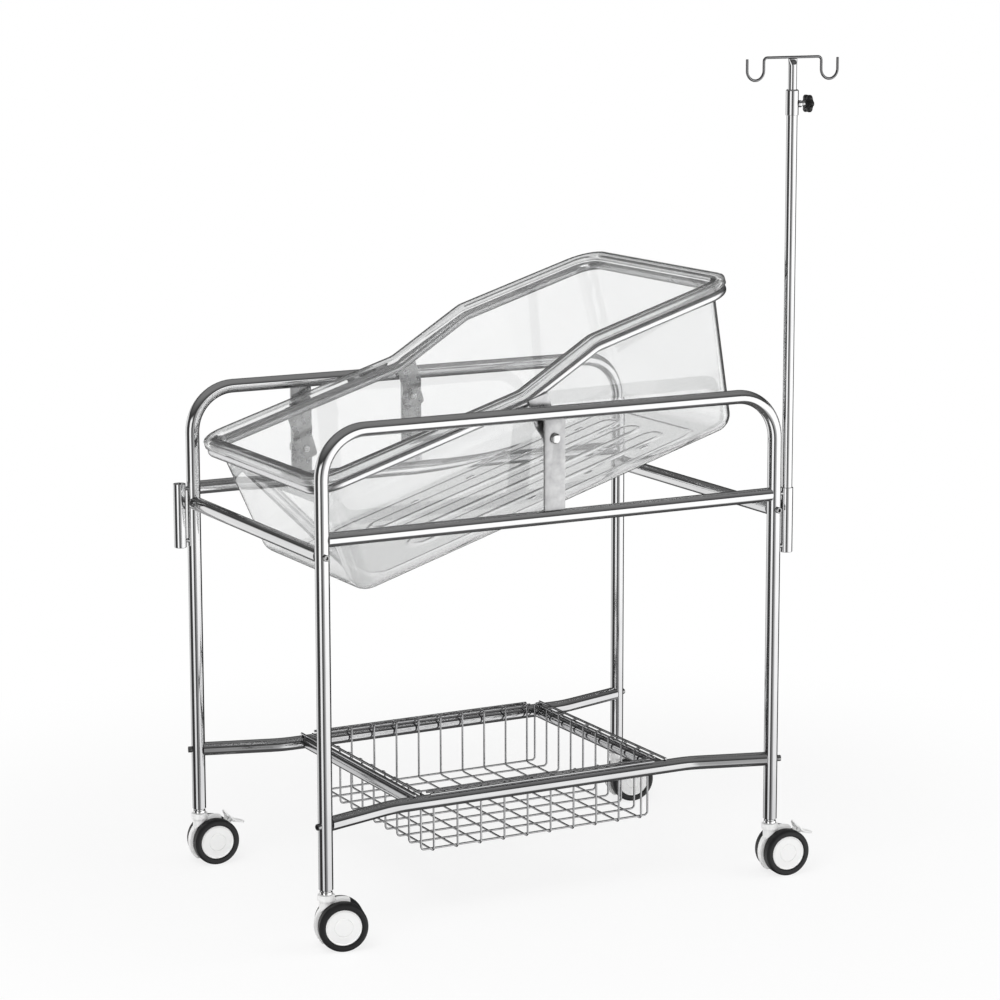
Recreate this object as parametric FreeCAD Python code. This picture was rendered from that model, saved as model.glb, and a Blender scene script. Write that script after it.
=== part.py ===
"""Tilting hospital bassinet: a clear tub in a cradle on a tubular steel trolley.

The trolley has two inverted-U hoops, end rails, lower rails and four casters.
A cradle ring hangs from it on two pivots and is locked by a bolt in an arc slot.
A wire basket rests on the lower rails and an infusion pole stands in a socket.

Construction axes: X runs from the foot end to the head end, Y from the near
side to the far side, Z up, with the floor at Z = 0. At the end every piece is
moved so that the bottom centre of the whole object is the origin.
All sizes are in millimetres.
"""
import FreeCAD
import Part
import math
import os

V = FreeCAD.Vector
X_DIR = V(1, 0, 0)
Y_DIR = V(0, 1, 0)
Z_DIR = V(0, 0, 1)
SIDES = {"near": -1, "far": 1}
ENDS = {"foot": -1, "head": 1}

# ---- driving dimensions of the trolley --------------------------------------
leg_span_x = 785.0
leg_span_y = 490.0
frame_tube = 22.0
leg_bottom_z = 91.0
top_rail_z = 782.0
hoop_bend = 70.0
mid_rail_z = 622.0
end_rail_z = 598.0
lower_rail_z = 191.0
lower_rail_inset = 40.0
lower_bend_reach = 130.5
lower_bend = 120.0
foot_cross_reach = 174.5
head_cross_reach = 180.5

# ---- fits ---------------------------------------------------------------------
running = 0.05
easy = 0.3

# ---- screws -------------------------------------------------------------------
screw = 6.0
screw_head = 10.0
screw_head_height = 5.5
screw_grip = 30.0

# ---- tilt pivot and lock ----------------------------------------------------
pivot_x = -4.0
pivot_z = 743.0
rest_tilt = 17.4
bar_width = 35.5
bar_thickness = 5.0
lock_bar_x = -203.0
bolt = 8.0
bolt_head = 16.0
bolt_head_height = 4.5
slot_play = 0.6
lock_along = -207.1
lock_height = -10.5
knob_size = 29.0
knob_length = 18.0
knob_neck = 6.5
knob_bore_stop = 6.5

# ---- cradle, in tub axes from the pivot -------------------------------------
ring_tube = 16.0
ring_foot_inset = 15.0
ring_head_inset = 17.0
ring_side_gap = 8.0
ring_bend = 40.0
step_start = -18.5
step_end = 122.5
ring_height = 61.0
step_height = 37.0
hanger_width = 35.0
hanger_thickness = 4.0
hanger_drop = 17.5
joggle_low = 8.0
joggle_high = 22.0

# ---- tub, in tub axes from the pivot ----------------------------------------
lip_reach = 10.0
lip_height = 12.2
lip_corner = 50.0
lip_flange = 20.0
lip_skirt = 30.0
tub_wall = 3.2
tub_draft = 5.3
tub_base = -128.0
tub_corner = 30.0
base_round = 24.0
rib_width = 44.0
rib_height = 2.5
rib_pitch = 70.0
rib_start = -205.0
rib_end = 262.0
panel_inset = 48.0
panel_height = 2.0
vent_length = 16.0
vent_width = 6.0
vent_side = 105.0
vent_pitch = 106.0

# ---- infusion pole ------------------------------------------------------------
socket_offset = 24.0
socket_tube = 20.0
socket_drop = 71.0
socket_length = 104.0
socket_floor = 3.0
tab_low = 10.4
tab_high = 9.0
tab_rod = 6.0
outer_tube = 17.0
outer_bore = 13.6
outer_length = 721.7
collar_tube = 20.0
collar_length = 40.0
collar_cap = 5.0
clamp_drop = 22.5
boss = 11.0
boss_reach = 16.0
clamp_screw = 5.8
star_size = 29.5
star_start = 22.5
star_end = 39.5
star_bore = 6.0
star_groove = 9.0
star_groove_out = 2.2
star_lobes = 6
inner_tube = 13.5
inner_bore = 11.1
inner_length = 626.0
inner_show = 39.0
plug_height = 9.5
plug_lip = 1.5
hook_rod = 4.2
hook_seat = 1.1
hook_depth = 34.6
hook_tip_drop = 1.6
hook_inner = 52.8
hook_bend = 15.2
hook_corner = 6.0

# ---- basket -------------------------------------------------------------------
rim_rod = 4.0
rod_offset = 7.0
long_rod_inset = 17.0
inner_end_rod_inset = 8.0
outer_end_rod_reach = 4.0
wire = 3.3
wire_overhang = 2.0
basket_depth = 97.3
wall_side_inset = 15.0
wall_foot_inset = 13.0
wall_head_inset = 14.0
wire_foot_margin = 20.5
wire_head_margin = 13.5
wire_side_margin = 44.6
wires_along = 10
wires_across = 8

# ---- casters ------------------------------------------------------------------
wheel_radius = 37.5
hub_radius = 27.5
wheel_inner = 6.5
wheel_width = 18.0
trail = 22.5
axle = 8.0
stem = 10.0
stem_low = 66.3
flange = 19.5
flange_low = 84.3
plug = 14.0
plug_length = 25.0
collar = 26.0
collar_low = 75.5
collar_high = 84.0
neck = 22.0
neck_low = 58.0
wheel_gap = 1.0
web_half = 5.5
fender_radius = 41.0
pedal_x = 49.0
pedal_z = 68.0
pedal_pin = 4.0
pedal_lug = 12.0
lug_half = 2.4
arm_drop = 13.0
cheek_out = 5.0
cheek_height = 6.0
tread_width = 17.0
tread_thickness = 3.6
tread_start = 7.8
high_tread_x = -7.5
high_tread_z = 16.0
low_tread_x = 27.0
low_tread_z = -8.0
near_foot_swivel = -15.0
near_head_swivel = -6.0
far_foot_swivel = -3.5
far_head_swivel = -8.0

# ---- places that follow from the driving dimensions -------------------------
leg_x = leg_span_x / 2
leg_y = leg_span_y / 2
tube_r = frame_tube / 2
lower_rail_y = leg_y - lower_rail_inset
lower_bend_x = leg_x - lower_bend_reach
foot_cross_x = foot_cross_reach - leg_x
head_cross_x = leg_x - head_cross_reach
ring_foot = ring_foot_inset - leg_x
ring_head = leg_x - ring_head_inset
ring_side = leg_y - tube_r - ring_side_gap - ring_tube / 2
socket_bottom = end_rail_z - socket_drop
socket_top = socket_bottom + socket_length
outer_bottom = socket_bottom + socket_floor + easy
outer_top = outer_bottom + outer_length
collar_top = outer_top + collar_cap
collar_bottom = collar_top - collar_length
clamp_z = collar_top - clamp_drop
inner_top = collar_top + inner_show
inner_bottom = inner_top - inner_length
plug_top = inner_top + plug_height
hook_bar_z = plug_top + hook_seat
hook_low_z = hook_bar_z - hook_depth
hook_tip_z = hook_bar_z - hook_tip_drop
wall_y = lower_rail_y - wall_side_inset
wall_foot_x = foot_cross_x + wall_foot_inset
wall_head_x = head_cross_x - wall_head_inset
pieces = {}


def box(x0, x1, y0, y1, z0, z1):
    """Box between two corners."""
    return Part.makeBox(x1 - x0, y1 - y0, z1 - z0, V(x0, y0, z0))


def rod(start, end, diameter):
    """Round bar from one point to another."""
    run = end - start
    return Part.makeCylinder(diameter / 2, run.Length, start, run)


def ring_of(outer, inner, start, end):
    """Round sleeve from one point to another."""
    return rod(start, end, outer).cut(rod(start, end, inner))


def bend_path(points, radii):
    """Wire of straight lines joined by tangent arcs at the inner points."""
    edges = []
    last = points[0]
    for before, corner, after, radius in zip(points, points[1:], points[2:], radii):
        back = (before - corner).normalize()
        ahead = (after - corner).normalize()
        turn = math.pi - back.getAngle(ahead)
        reach = radius * math.tan(turn / 2)
        first = corner + back * reach
        final = corner + ahead * reach
        middle_dir = (back + ahead).normalize()
        middle = corner + middle_dir * (radius / math.cos(turn / 2) - radius)
        if (first - last).Length > 0.01:
            edges.append(Part.makeLine(last, first))
        edges.append(Part.Arc(first, middle, final).toShape())
        last = final
    if (points[-1] - last).Length > 0.01:
        edges.append(Part.makeLine(last, points[-1]))
    return Part.Wire(edges)


def bent_rod(points, radii, diameter):
    """Round bar bent along a path."""
    path = bend_path(points, radii)
    start = path.Edges[0].valueAt(path.Edges[0].FirstParameter)
    heading = points[1] - points[0]
    section = Part.Wire(Part.makeCircle(diameter / 2, start, heading))
    return path.makePipeShell([section], True, False)


def hexagon(across_flats, centre, direction, depth):
    """Six-sided prism that starts at a point and runs along a direction."""
    corner = across_flats / math.sqrt(3)
    spin = FreeCAD.Rotation(Z_DIR, direction)
    angles = [math.radians(60 * index) for index in range(7)]
    outline = [spin.multVec(V(corner * math.cos(a), corner * math.sin(a), 0)) for a in angles]
    outline = [centre + point for point in outline]
    outline[-1] = outline[0]
    return Part.Face(Part.makePolygon(outline)).extrude(direction * depth)


def rounded_rectangle(x0, x1, half_y, radius, z):
    """Closed wire of a rectangle with round corners in a level plane."""
    corners = [V(x0, -half_y, z), V(x1, -half_y, z), V(x1, half_y, z), V(x0, half_y, z)]
    edges = []
    for index in range(4):
        before = corners[index - 1]
        corner = corners[index]
        after = corners[(index + 1) % 4]
        back = (before - corner).normalize()
        ahead = (after - corner).normalize()
        first = corner + back * radius
        final = corner + ahead * radius
        centre = corner + back * radius + ahead * radius
        middle = centre + (corner - centre).normalize() * radius
        edges.append(Part.Arc(first, middle, final).toShape())
        following = after + (corner - after).normalize() * radius
        edges.append(Part.makeLine(final, following))
    return Part.Wire(edges)


def leg(x_sign, y_sign):
    """Solid the size of one leg, for coping the rails that meet it."""
    foot = V(x_sign * leg_x, y_sign * leg_y, leg_bottom_z)
    return rod(foot, foot + Z_DIR * (top_rail_z - leg_bottom_z), frame_tube)


def screw_axis(x_sign, y_sign, low):
    """Centre on the leg and inward direction of one rail screw."""
    if low:
        centre = V(x_sign * leg_x, y_sign * leg_y, lower_rail_z)
        bend = V(x_sign * lower_bend_x, y_sign * lower_rail_y, lower_rail_z)
        return centre, (bend - centre).normalize()
    centre = V(x_sign * leg_x, y_sign * leg_y, end_rail_z)
    return centre, V(0, -y_sign, 0)


def screw_hole(x_sign, y_sign, low):
    """Clearance hole through a leg and into the end of the rail behind it."""
    centre, inward = screw_axis(x_sign, y_sign, low)
    return rod(centre - inward * frame_tube, centre + inward * screw_grip, screw + 2 * running)


def rail_screw(x_sign, y_sign, low):
    """Socket-head screw whose head is saddled to the leg."""
    centre, inward = screw_axis(x_sign, y_sign, low)
    head_end = centre - inward * (tube_r + screw_head_height)
    head = rod(centre - inward * (tube_r - 2), head_end, screw_head)
    head = head.cut(leg(x_sign, y_sign))
    head = head.cut(hexagon(5.0, head_end, inward, 3.0))
    shank = rod(centre - inward * (tube_r + 1), centre + inward * (screw_grip - 1), screw)
    return head.fuse(shank).removeSplitter()


# ---- hoops --------------------------------------------------------------------
for side, y_sign in SIDES.items():
    y = y_sign * leg_y
    hoop = bent_rod([V(-leg_x, y, leg_bottom_z), V(-leg_x, y, top_rail_z),
                     V(leg_x, y, top_rail_z), V(leg_x, y, leg_bottom_z)],
                    [hoop_bend, hoop_bend], frame_tube)
    for x_sign in (-1, 1):
        foot = V(x_sign * leg_x, y, leg_bottom_z)
        hoop = hoop.cut(rod(foot, foot + Z_DIR * (plug_length + 1), plug + 2 * running))
        hoop = hoop.cut(screw_hole(x_sign, y_sign, False))
        hoop = hoop.cut(screw_hole(x_sign, y_sign, True))
    pieces[side + "_hoop"] = hoop

# ---- rails between the legs -------------------------------------------------
for side, y_sign in SIDES.items():
    y = y_sign * leg_y
    rail = rod(V(-leg_x, y, mid_rail_z), V(leg_x, y, mid_rail_z), frame_tube)
    pieces[side + "_mid_rail"] = rail.cut(leg(-1, y_sign)).cut(leg(1, y_sign))
    low = bent_rod([V(-leg_x, y, lower_rail_z),
                    V(-lower_bend_x, y_sign * lower_rail_y, lower_rail_z),
                    V(lower_bend_x, y_sign * lower_rail_y, lower_rail_z),
                    V(leg_x, y, lower_rail_z)], [lower_bend, lower_bend], frame_tube)
    for x_sign in (-1, 1):
        low = low.cut(leg(x_sign, y_sign)).cut(screw_hole(x_sign, y_sign, True))
    pieces[side + "_lower_rail"] = low

for end, x_sign in ENDS.items():
    x = x_sign * leg_x
    rail = rod(V(x, -leg_y, end_rail_z), V(x, leg_y, end_rail_z), frame_tube)
    for y_sign in (-1, 1):
        rail = rail.cut(leg(x_sign, y_sign)).cut(screw_hole(x_sign, y_sign, False))
    pieces[end + "_end_rail"] = rail

straight_low = [rod(V(-leg_x, y, lower_rail_z), V(leg_x, y, lower_rail_z), frame_tube)
                for y in (-lower_rail_y, lower_rail_y)]
for end, x in (("foot", foot_cross_x), ("head", head_cross_x)):
    rail = rod(V(x, -lower_rail_y, lower_rail_z), V(x, lower_rail_y, lower_rail_z), frame_tube)
    pieces[end + "_cross_rail"] = rail.cut(straight_low[0]).cut(straight_low[1])

pieces["rail_screws"] = Part.Compound([rail_screw(x_sign, y_sign, low)
                                       for x_sign in (-1, 1)
                                       for y_sign in (-1, 1)
                                       for low in (False, True)])

# ---- flat bars that carry the pivots and the lock ---------------------------
bolt_hole = bolt + 2 * running


def flat_bar(x, y_sign):
    """Upright flat bar between the top rail and the mid rail of one hoop."""
    y = y_sign * leg_y
    half = bar_width / 2
    bar = box(x - half, x + half, y - bar_thickness / 2, y + bar_thickness / 2,
              mid_rail_z, top_rail_z)
    for z in (mid_rail_z, top_rail_z):
        bar = bar.cut(rod(V(-leg_x, y, z), V(leg_x, y, z), frame_tube))
    return bar


def across(x, z, y0, y1, diameter):
    """Round bar along Y between two Y values."""
    return rod(V(x, y0, z), V(x, y1, z), diameter)


def arc_slot(centre_x, centre_z, radius, angle_a, angle_b, width):
    """Curved slot cutter in the side view, running along Y."""
    def point(r, angle):
        turn = math.radians(angle)
        return V(centre_x + r * math.cos(turn), -leg_span_y, centre_z + r * math.sin(turn))
    half = width / 2
    middle = (angle_a + angle_b) / 2
    outer = Part.Arc(point(radius + half, angle_a), point(radius + half, middle),
                     point(radius + half, angle_b)).toShape()
    inner = Part.Arc(point(radius - half, angle_a), point(radius - half, middle),
                     point(radius - half, angle_b)).toShape()
    ends = [Part.makeLine(point(radius - half, a), point(radius + half, a))
            for a in (angle_a, angle_b)]
    band = Part.Face(Part.Wire(Part.sortEdges([outer, inner] + ends)[0]))
    cutter = band.extrude(Y_DIR * 2 * leg_span_y)
    for angle in (angle_a, angle_b):
        spot = point(radius, angle)
        cutter = cutter.fuse(across(spot.x, spot.z, -leg_span_y, leg_span_y, width))
    return cutter


for side, y_sign in SIDES.items():
    bar = flat_bar(pivot_x, y_sign)
    pieces[side + "_pivot_bar"] = bar.cut(across(pivot_x, pivot_z, -leg_span_y, leg_span_y, bolt_hole))

lock_radius = math.hypot(lock_along, lock_height)
level_angle = math.degrees(math.atan2(lock_height, lock_along))
slot = arc_slot(pivot_x, pivot_z, lock_radius, level_angle, level_angle + rest_tilt,
                bolt + 2 * slot_play)
pieces["tilt_lock_bar"] = flat_bar(lock_bar_x, 1).cut(slot)

# ---- infusion pole sockets --------------------------------------------------
def pole_socket(x_sign, y_sign):
    """Blind tube held beside a leg on two short stand-offs."""
    x = x_sign * (leg_x + socket_offset)
    y = y_sign * leg_y
    tube = rod(V(x, y, socket_bottom), V(x, y, socket_top), socket_tube)
    for z in (socket_bottom + tab_low, socket_top - tab_high):
        tab = rod(V(x_sign * leg_x, y, z), V(x, y, z), tab_rod)
        tube = tube.fuse(tab.cut(leg(x_sign, y_sign)))
    bore = rod(V(x, y, socket_bottom + socket_floor), V(x, y, socket_top + 1),
               outer_tube + 3 * running)
    return tube.cut(bore).removeSplitter()


pieces["iv_socket"] = pole_socket(1, -1)
pieces["spare_iv_socket"] = pole_socket(-1, 1)

# ---- cradle -------------------------------------------------------------------
tub_place = FreeCAD.Placement(V(pivot_x, 0, pivot_z), FreeCAD.Rotation(Y_DIR, -rest_tilt))
step_angle = math.atan2(step_height, step_end - step_start)


def tilted(shape):
    """Carry a shape from tub axes into the trolley's axes at the rest tilt."""
    moved = shape.copy()
    moved.Placement = tub_place.multiply(moved.Placement)
    return moved


def step_points(rise, x0, x1, y):
    """Corner points of a line that runs a set height above the cradle ring."""
    shift = rise * math.tan(step_angle / 2)
    return [V(x0, y, ring_height + rise), V(step_start - shift, y, ring_height + rise),
            V(step_end - shift, y, ring_height + step_height + rise),
            V(x1, y, ring_height + step_height + rise)]


def half_ring(y_sign):
    """Half of the closed cradle ring, from the foot centre to the head centre."""
    y = y_sign * ring_side
    side_points = step_points(0, ring_foot, ring_head, y)
    start = V(ring_foot, 0, ring_height)
    end = V(ring_head, 0, ring_height + step_height)
    return bent_rod([start] + side_points + [end], [ring_bend] * 4, ring_tube)


ring = half_ring(-1).fuse(half_ring(1)).removeSplitter()
pieces["rim_ring"] = tilted(ring)

bar_inner_y = leg_y - bar_thickness / 2
hanger_outer_y = bar_inner_y - 2 * running - easy
hanger_top_y = ring_side + ring_tube / 2 + hanger_thickness


def hanger(along, height, y_sign):
    """Joggled strap from the ring down to a bolt hole, in tub axes."""
    low = hanger_outer_y
    top = hanger_top_y
    t = hanger_thickness
    profile = [(low, -hanger_drop - 5), (low, joggle_low), (top, joggle_high),
               (top, ring_height + 5), (top - t, ring_height + 5), (top - t, joggle_high - 1),
               (low - t, joggle_low - 1), (low - t, -hanger_drop - 5)]
    outline = [V(along - hanger_width / 2, y_sign * a, b + min(0, height)) if b < 0
               else V(along - hanger_width / 2, y_sign * a, b) for a, b in profile]
    strap = Part.Face(Part.makePolygon(outline + [outline[0]])).extrude(X_DIR * hanger_width)
    keep = across(along, height, -leg_span_y, leg_span_y, 2 * hanger_drop)
    keep = keep.fuse(box(along - hanger_width / 2, along + hanger_width / 2,
                         -leg_span_y, leg_span_y, height, ring_height + 10))
    strap = strap.common(keep)
    return strap.cut(across(along, height, -leg_span_y, leg_span_y, bolt_hole))


for side, y_sign in SIDES.items():
    pieces[side + "_hanger"] = tilted(hanger(0, 0, y_sign))
pieces["lock_hanger"] = tilted(hanger(lock_along, lock_height, 1))

nut_inner_y = hanger_outer_y - hanger_thickness - easy - 5.0


def pivot_bolt(y_sign):
    """Shoulder bolt through a pivot bar and a hanger, with its nut inside."""
    outer = leg_y + bar_thickness / 2
    head = across(pivot_x, pivot_z, y_sign * outer, y_sign * (outer + bolt_head_height), bolt_head)
    shank = across(pivot_x, pivot_z, y_sign * nut_inner_y, y_sign * (outer + 1), bolt)
    nut = hexagon(13.0, V(pivot_x, y_sign * nut_inner_y, pivot_z), V(0, y_sign, 0), 5.0)
    return head.fuse([shank, nut]).removeSplitter()


pieces["pivot_bolts"] = Part.Compound([pivot_bolt(-1), pivot_bolt(1)])

knob_start = leg_y + bar_thickness / 2 + 0.5
knob_face = knob_start + knob_neck + knob_length
lock_head_y = hanger_outer_y - hanger_thickness
lock_head = hexagon(13.0, V(lock_along, lock_head_y - 5.0, lock_height), Y_DIR, 5.0)
lock_shank = across(lock_along, lock_height, lock_head_y - 1, knob_face - knob_bore_stop - easy, bolt)
pieces["lock_bolt"] = tilted(lock_head.fuse(lock_shank).removeSplitter())

knob = across(lock_along, lock_height, knob_start, knob_face, bolt_head)
knob = knob.fuse(across(lock_along, lock_height, knob_start + knob_neck, knob_face, knob_size))
knob = knob.removeSplitter()
rims = [edge for edge in knob.Edges
        if abs(edge.Length - math.pi * knob_size) < 0.1 and edge.Closed]
knob = knob.makeFillet(2.5, rims)
knob = knob.cut(across(lock_along, lock_height, knob_start - 1, knob_face - knob_bore_stop, bolt_hole))
pieces["lock_knob"] = tilted(knob)

# ---- tub ----------------------------------------------------------------------
draft_slope = math.tan(math.radians(tub_draft))
lip_low = ring_tube / 2 + easy
lip_high = lip_low + lip_height
lip_side = ring_side + lip_reach
lip_foot = ring_foot - lip_reach
lip_head = ring_head + lip_reach
rim_drop = ring_height + lip_low - tub_base
base_side = lip_side - lip_flange - (rim_drop + step_height) * draft_slope
base_foot = lip_foot + lip_flange + rim_drop * draft_slope
base_head = lip_head - lip_flange - (rim_drop + step_height) * draft_slope
tall_z = ring_height + step_height + lip_high + lip_skirt


def drafted_tub(inset, low_z, corner, bottom_round):
    """Solid with drafted sides and a rounded bottom edge."""
    rise = low_z - tub_base
    grow = rise * draft_slope - inset
    spread = (tall_z - tub_base) * draft_slope - inset
    low = rounded_rectangle(base_foot - grow, base_head + grow, base_side + grow, corner, low_z)
    high = rounded_rectangle(base_foot - spread, base_head + spread, base_side + spread,
                             corner, tall_z)
    solid = Part.makeLoft([low, high], True, True)
    bottom = [edge for edge in solid.Edges
              if abs(edge.BoundBox.ZMax - low_z) < 0.01]
    return solid.makeFillet(bottom_round, bottom)


def stepped_band(low, high):
    """Solid between two lines that follow the ring's step, seen from the side."""
    x0 = 1.3 * lip_foot
    x1 = 1.3 * lip_head
    under = bend_path(step_points(low, x0, x1, -leg_span_y), [ring_bend - low, ring_bend + low])
    over = bend_path(step_points(high, x0, x1, -leg_span_y),
                     [max(ring_bend - high, 5), ring_bend + high])
    ends = [Part.makeLine(V(x, -leg_span_y, under_z), V(x, -leg_span_y, over_z))
            for x, under_z, over_z in ((x0, ring_height + low, ring_height + high),
                                       (x1, ring_height + step_height + low,
                                        ring_height + step_height + high))]
    edges = Part.sortEdges(under.Edges + over.Edges + ends)[0]
    return Part.Face(Part.Wire(edges)).extrude(Y_DIR * 2 * leg_span_y)


def floor_slot(x0, x1, y, width, z0, z1):
    """Level solid with round ends along X."""
    half = width / 2
    slab = box(x0 + half, x1 - half, y - half, y + half, z0, z1)
    ends = [Part.makeCylinder(half, z1 - z0, V(x, y, z0)) for x in (x0 + half, x1 - half)]
    return slab.fuse(ends).removeSplitter()


below_lip = box(1.3 * lip_foot, 1.3 * lip_head, -leg_span_y, leg_span_y, 2 * tub_base,
                ring_height - 20)
below_lip = below_lip.fuse(stepped_band(-lip_skirt, lip_high - 0.01)).fuse(
    box(0, 1.3 * lip_head, -leg_span_y, leg_span_y, 2 * tub_base, ring_height + 10))
outside = drafted_tub(0, tub_base, tub_corner, base_round)
inside = drafted_tub(tub_wall, tub_base + tub_wall, tub_corner - tub_wall, base_round - tub_wall)
lip_plan = Part.Face(rounded_rectangle(lip_foot, lip_head, lip_side, lip_corner, 0))
lip = lip_plan.extrude(Z_DIR * 2 * tall_z).common(stepped_band(lip_low, lip_high))
tub = outside.common(below_lip).fuse(lip).cut(inside)
floor_top = tub_base + tub_wall
panel = Part.Face(rounded_rectangle(base_foot + panel_inset, base_head - panel_inset,
                                    base_side - panel_inset, tub_corner, floor_top - 1))
tub = tub.fuse(panel.extrude(Z_DIR * (1 + panel_height)))
rib_top = floor_top + panel_height + rib_height
for row in (-1, 0, 1):
    tub = tub.fuse(floor_slot(rib_start, rib_end, row * rib_pitch, rib_width,
                              floor_top - 1, rib_top))
tub = tub.removeSplitter()
for index in range(-1, 3):
    for y in (-vent_side, vent_side):
        x = index * vent_pitch
        tub = tub.cut(floor_slot(x - vent_length / 2, x + vent_length / 2, y, vent_width,
                                 tub_base - 5, rib_top + 5))
pieces["tub"] = tilted(tub)

# ---- infusion pole ------------------------------------------------------------
pole_x = leg_x + socket_offset
pole_y = -leg_y


def on_pole(along, z):
    """Point beside the pole's axis, a distance towards the head end."""
    return V(pole_x + along, pole_y, z)


tube = ring_of(outer_tube, outer_bore, on_pole(0, outer_bottom), on_pole(0, outer_top))
tube = tube.cut(rod(on_pole(0, clamp_z), on_pole(outer_tube, clamp_z), clamp_screw + 2 * running))
pieces["iv_outer_tube"] = tube

collar_solid = rod(on_pole(0, collar_bottom), on_pole(0, collar_top), collar_tube)
collar_solid = collar_solid.fuse(rod(on_pole(0, clamp_z), on_pole(boss_reach, clamp_z), boss))
collar_solid = collar_solid.cut(rod(on_pole(0, collar_bottom - 1),
                                    on_pole(0, outer_top), outer_tube))
collar_solid = collar_solid.cut(rod(on_pole(0, collar_bottom), on_pole(0, collar_top + 1),
                                    inner_tube + 2 * running))
collar_solid = collar_solid.cut(rod(on_pole(0, clamp_z), on_pole(boss_reach + 1, clamp_z),
                                    clamp_screw + 2 * running))
pieces["iv_collar"] = collar_solid.removeSplitter()
pieces["iv_clamp_screw"] = rod(on_pole(inner_tube / 2 + easy, clamp_z),
                               on_pole(star_start + star_bore, clamp_z), clamp_screw)

star = rod(on_pole(star_start, clamp_z), on_pole(star_end, clamp_z), star_size)
for index in range(star_lobes):
    turn = 2 * math.pi * index / star_lobes
    out = V(0, math.cos(turn), math.sin(turn)) * (star_size / 2 + star_groove_out)
    star = star.cut(rod(on_pole(star_start - 1, clamp_z) + out,
                        on_pole(star_end + 1, clamp_z) + out, star_groove))
star = star.cut(rod(on_pole(star_start - 1, clamp_z), on_pole(star_start + star_bore, clamp_z),
                    clamp_screw))
pieces["iv_clamp_knob"] = star

mast = ring_of(inner_tube, inner_bore, on_pole(0, inner_bottom), on_pole(0, inner_top))
cone = Part.makeCone(inner_tube / 2, hook_rod / 2 + plug_lip, plug_height,
                     on_pole(0, inner_top), Z_DIR)
hook_line = [on_pole(-hook_inner - 2 * hook_bend, hook_tip_z),
             on_pole(-hook_inner - 2 * hook_bend, hook_low_z), on_pole(-hook_inner, hook_low_z),
             on_pole(-hook_inner, hook_bar_z), on_pole(hook_inner, hook_bar_z),
             on_pole(hook_inner, hook_low_z), on_pole(hook_inner + 2 * hook_bend, hook_low_z),
             on_pole(hook_inner + 2 * hook_bend, hook_tip_z)]
hooks = bent_rod(hook_line, [hook_bend, hook_bend, hook_corner, hook_corner, hook_bend,
                             hook_bend], hook_rod)
cone = cone.cut(rod(on_pole(-20, hook_bar_z), on_pole(20, hook_bar_z), hook_rod))
pieces["iv_inner_tube"] = mast.fuse(cone).removeSplitter()
pieces["iv_hook_rod"] = hooks

# ---- basket -------------------------------------------------------------------
rod_z = lower_rail_z + tube_r + rim_rod / 2 + easy
long_rod_start = foot_cross_x + long_rod_inset
long_rod_end = head_cross_x - long_rod_inset
rods = []
for y_sign in (-1, 1):
    for offset in (-rod_offset, rod_offset):
        y = y_sign * (lower_rail_y + offset)
        rods.append(rod(V(long_rod_start, y, rod_z), V(long_rod_end, y, rod_z), rim_rod))
for cross_x, outward in ((foot_cross_x, -1), (head_cross_x, 1)):
    for offset, reach in ((-rod_offset, lower_rail_y - inner_end_rod_inset),
                          (rod_offset, lower_rail_y + outer_end_rod_reach)):
        x = cross_x + outward * offset
        rods.append(rod(V(x, -reach, rod_z), V(x, reach, rod_z), rim_rod))
pieces["basket_rim"] = Part.Compound(rods)

wire_r = wire / 2
wire_top_z = rod_z + rim_rod / 2 + wire_r
basket_floor_z = rod_z - basket_depth
floor_wires = []
wall_wires = []


def wall_wire(wall, rail, foot_z):
    """Upright wire and the hook that carries it over both rods of one rail."""
    outward = (rail - wall).normalize()
    tip = rail + outward * (rod_offset + wire_overhang)
    wall_wires.append(rod(wall + Z_DIR * (foot_z - wire_r),
                          wall + Z_DIR * (wire_top_z + wire_r), wire))
    wall_wires.append(rod(wall + outward * wire_r + Z_DIR * wire_top_z,
                          tip + Z_DIR * wire_top_z, wire))


along_pitch = (wall_head_x - wall_foot_x - wire_foot_margin - wire_head_margin) / (wires_along - 1)
for index in range(wires_along):
    x = wall_foot_x + wire_foot_margin + index * along_pitch
    floor_wires.append(rod(V(x, wire_r - wall_y, basket_floor_z),
                           V(x, wall_y - wire_r, basket_floor_z), wire))
    for y_sign in (-1, 1):
        wall_wire(V(x, y_sign * wall_y, 0), V(x, y_sign * lower_rail_y, 0), basket_floor_z)
across_pitch = 2 * (wall_y - wire_side_margin) / (wires_across - 1)
for index in range(wires_across):
    y = (index - (wires_across - 1) / 2) * across_pitch
    z = basket_floor_z + wire
    floor_wires.append(rod(V(wall_foot_x + wire_r, y, z), V(wall_head_x - wire_r, y, z), wire))
    for wall_x, cross_x in ((wall_foot_x, foot_cross_x), (wall_head_x, head_cross_x)):
        wall_wire(V(wall_x, y, 0), V(cross_x, y, 0), z)
pieces["basket_floor"] = Part.Compound(floor_wires)
pieces["basket_walls"] = Part.Compound(wall_wires)

# ---- casters ------------------------------------------------------------------
wheel_z = wheel_radius
wheel_outer = wheel_inner + wheel_width


def beside(y0, y1, x, z, diameter):
    """Round bar along Y in a caster's own axes."""
    return rod(V(x, y0, z), V(x, y1, z), diameter)


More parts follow.
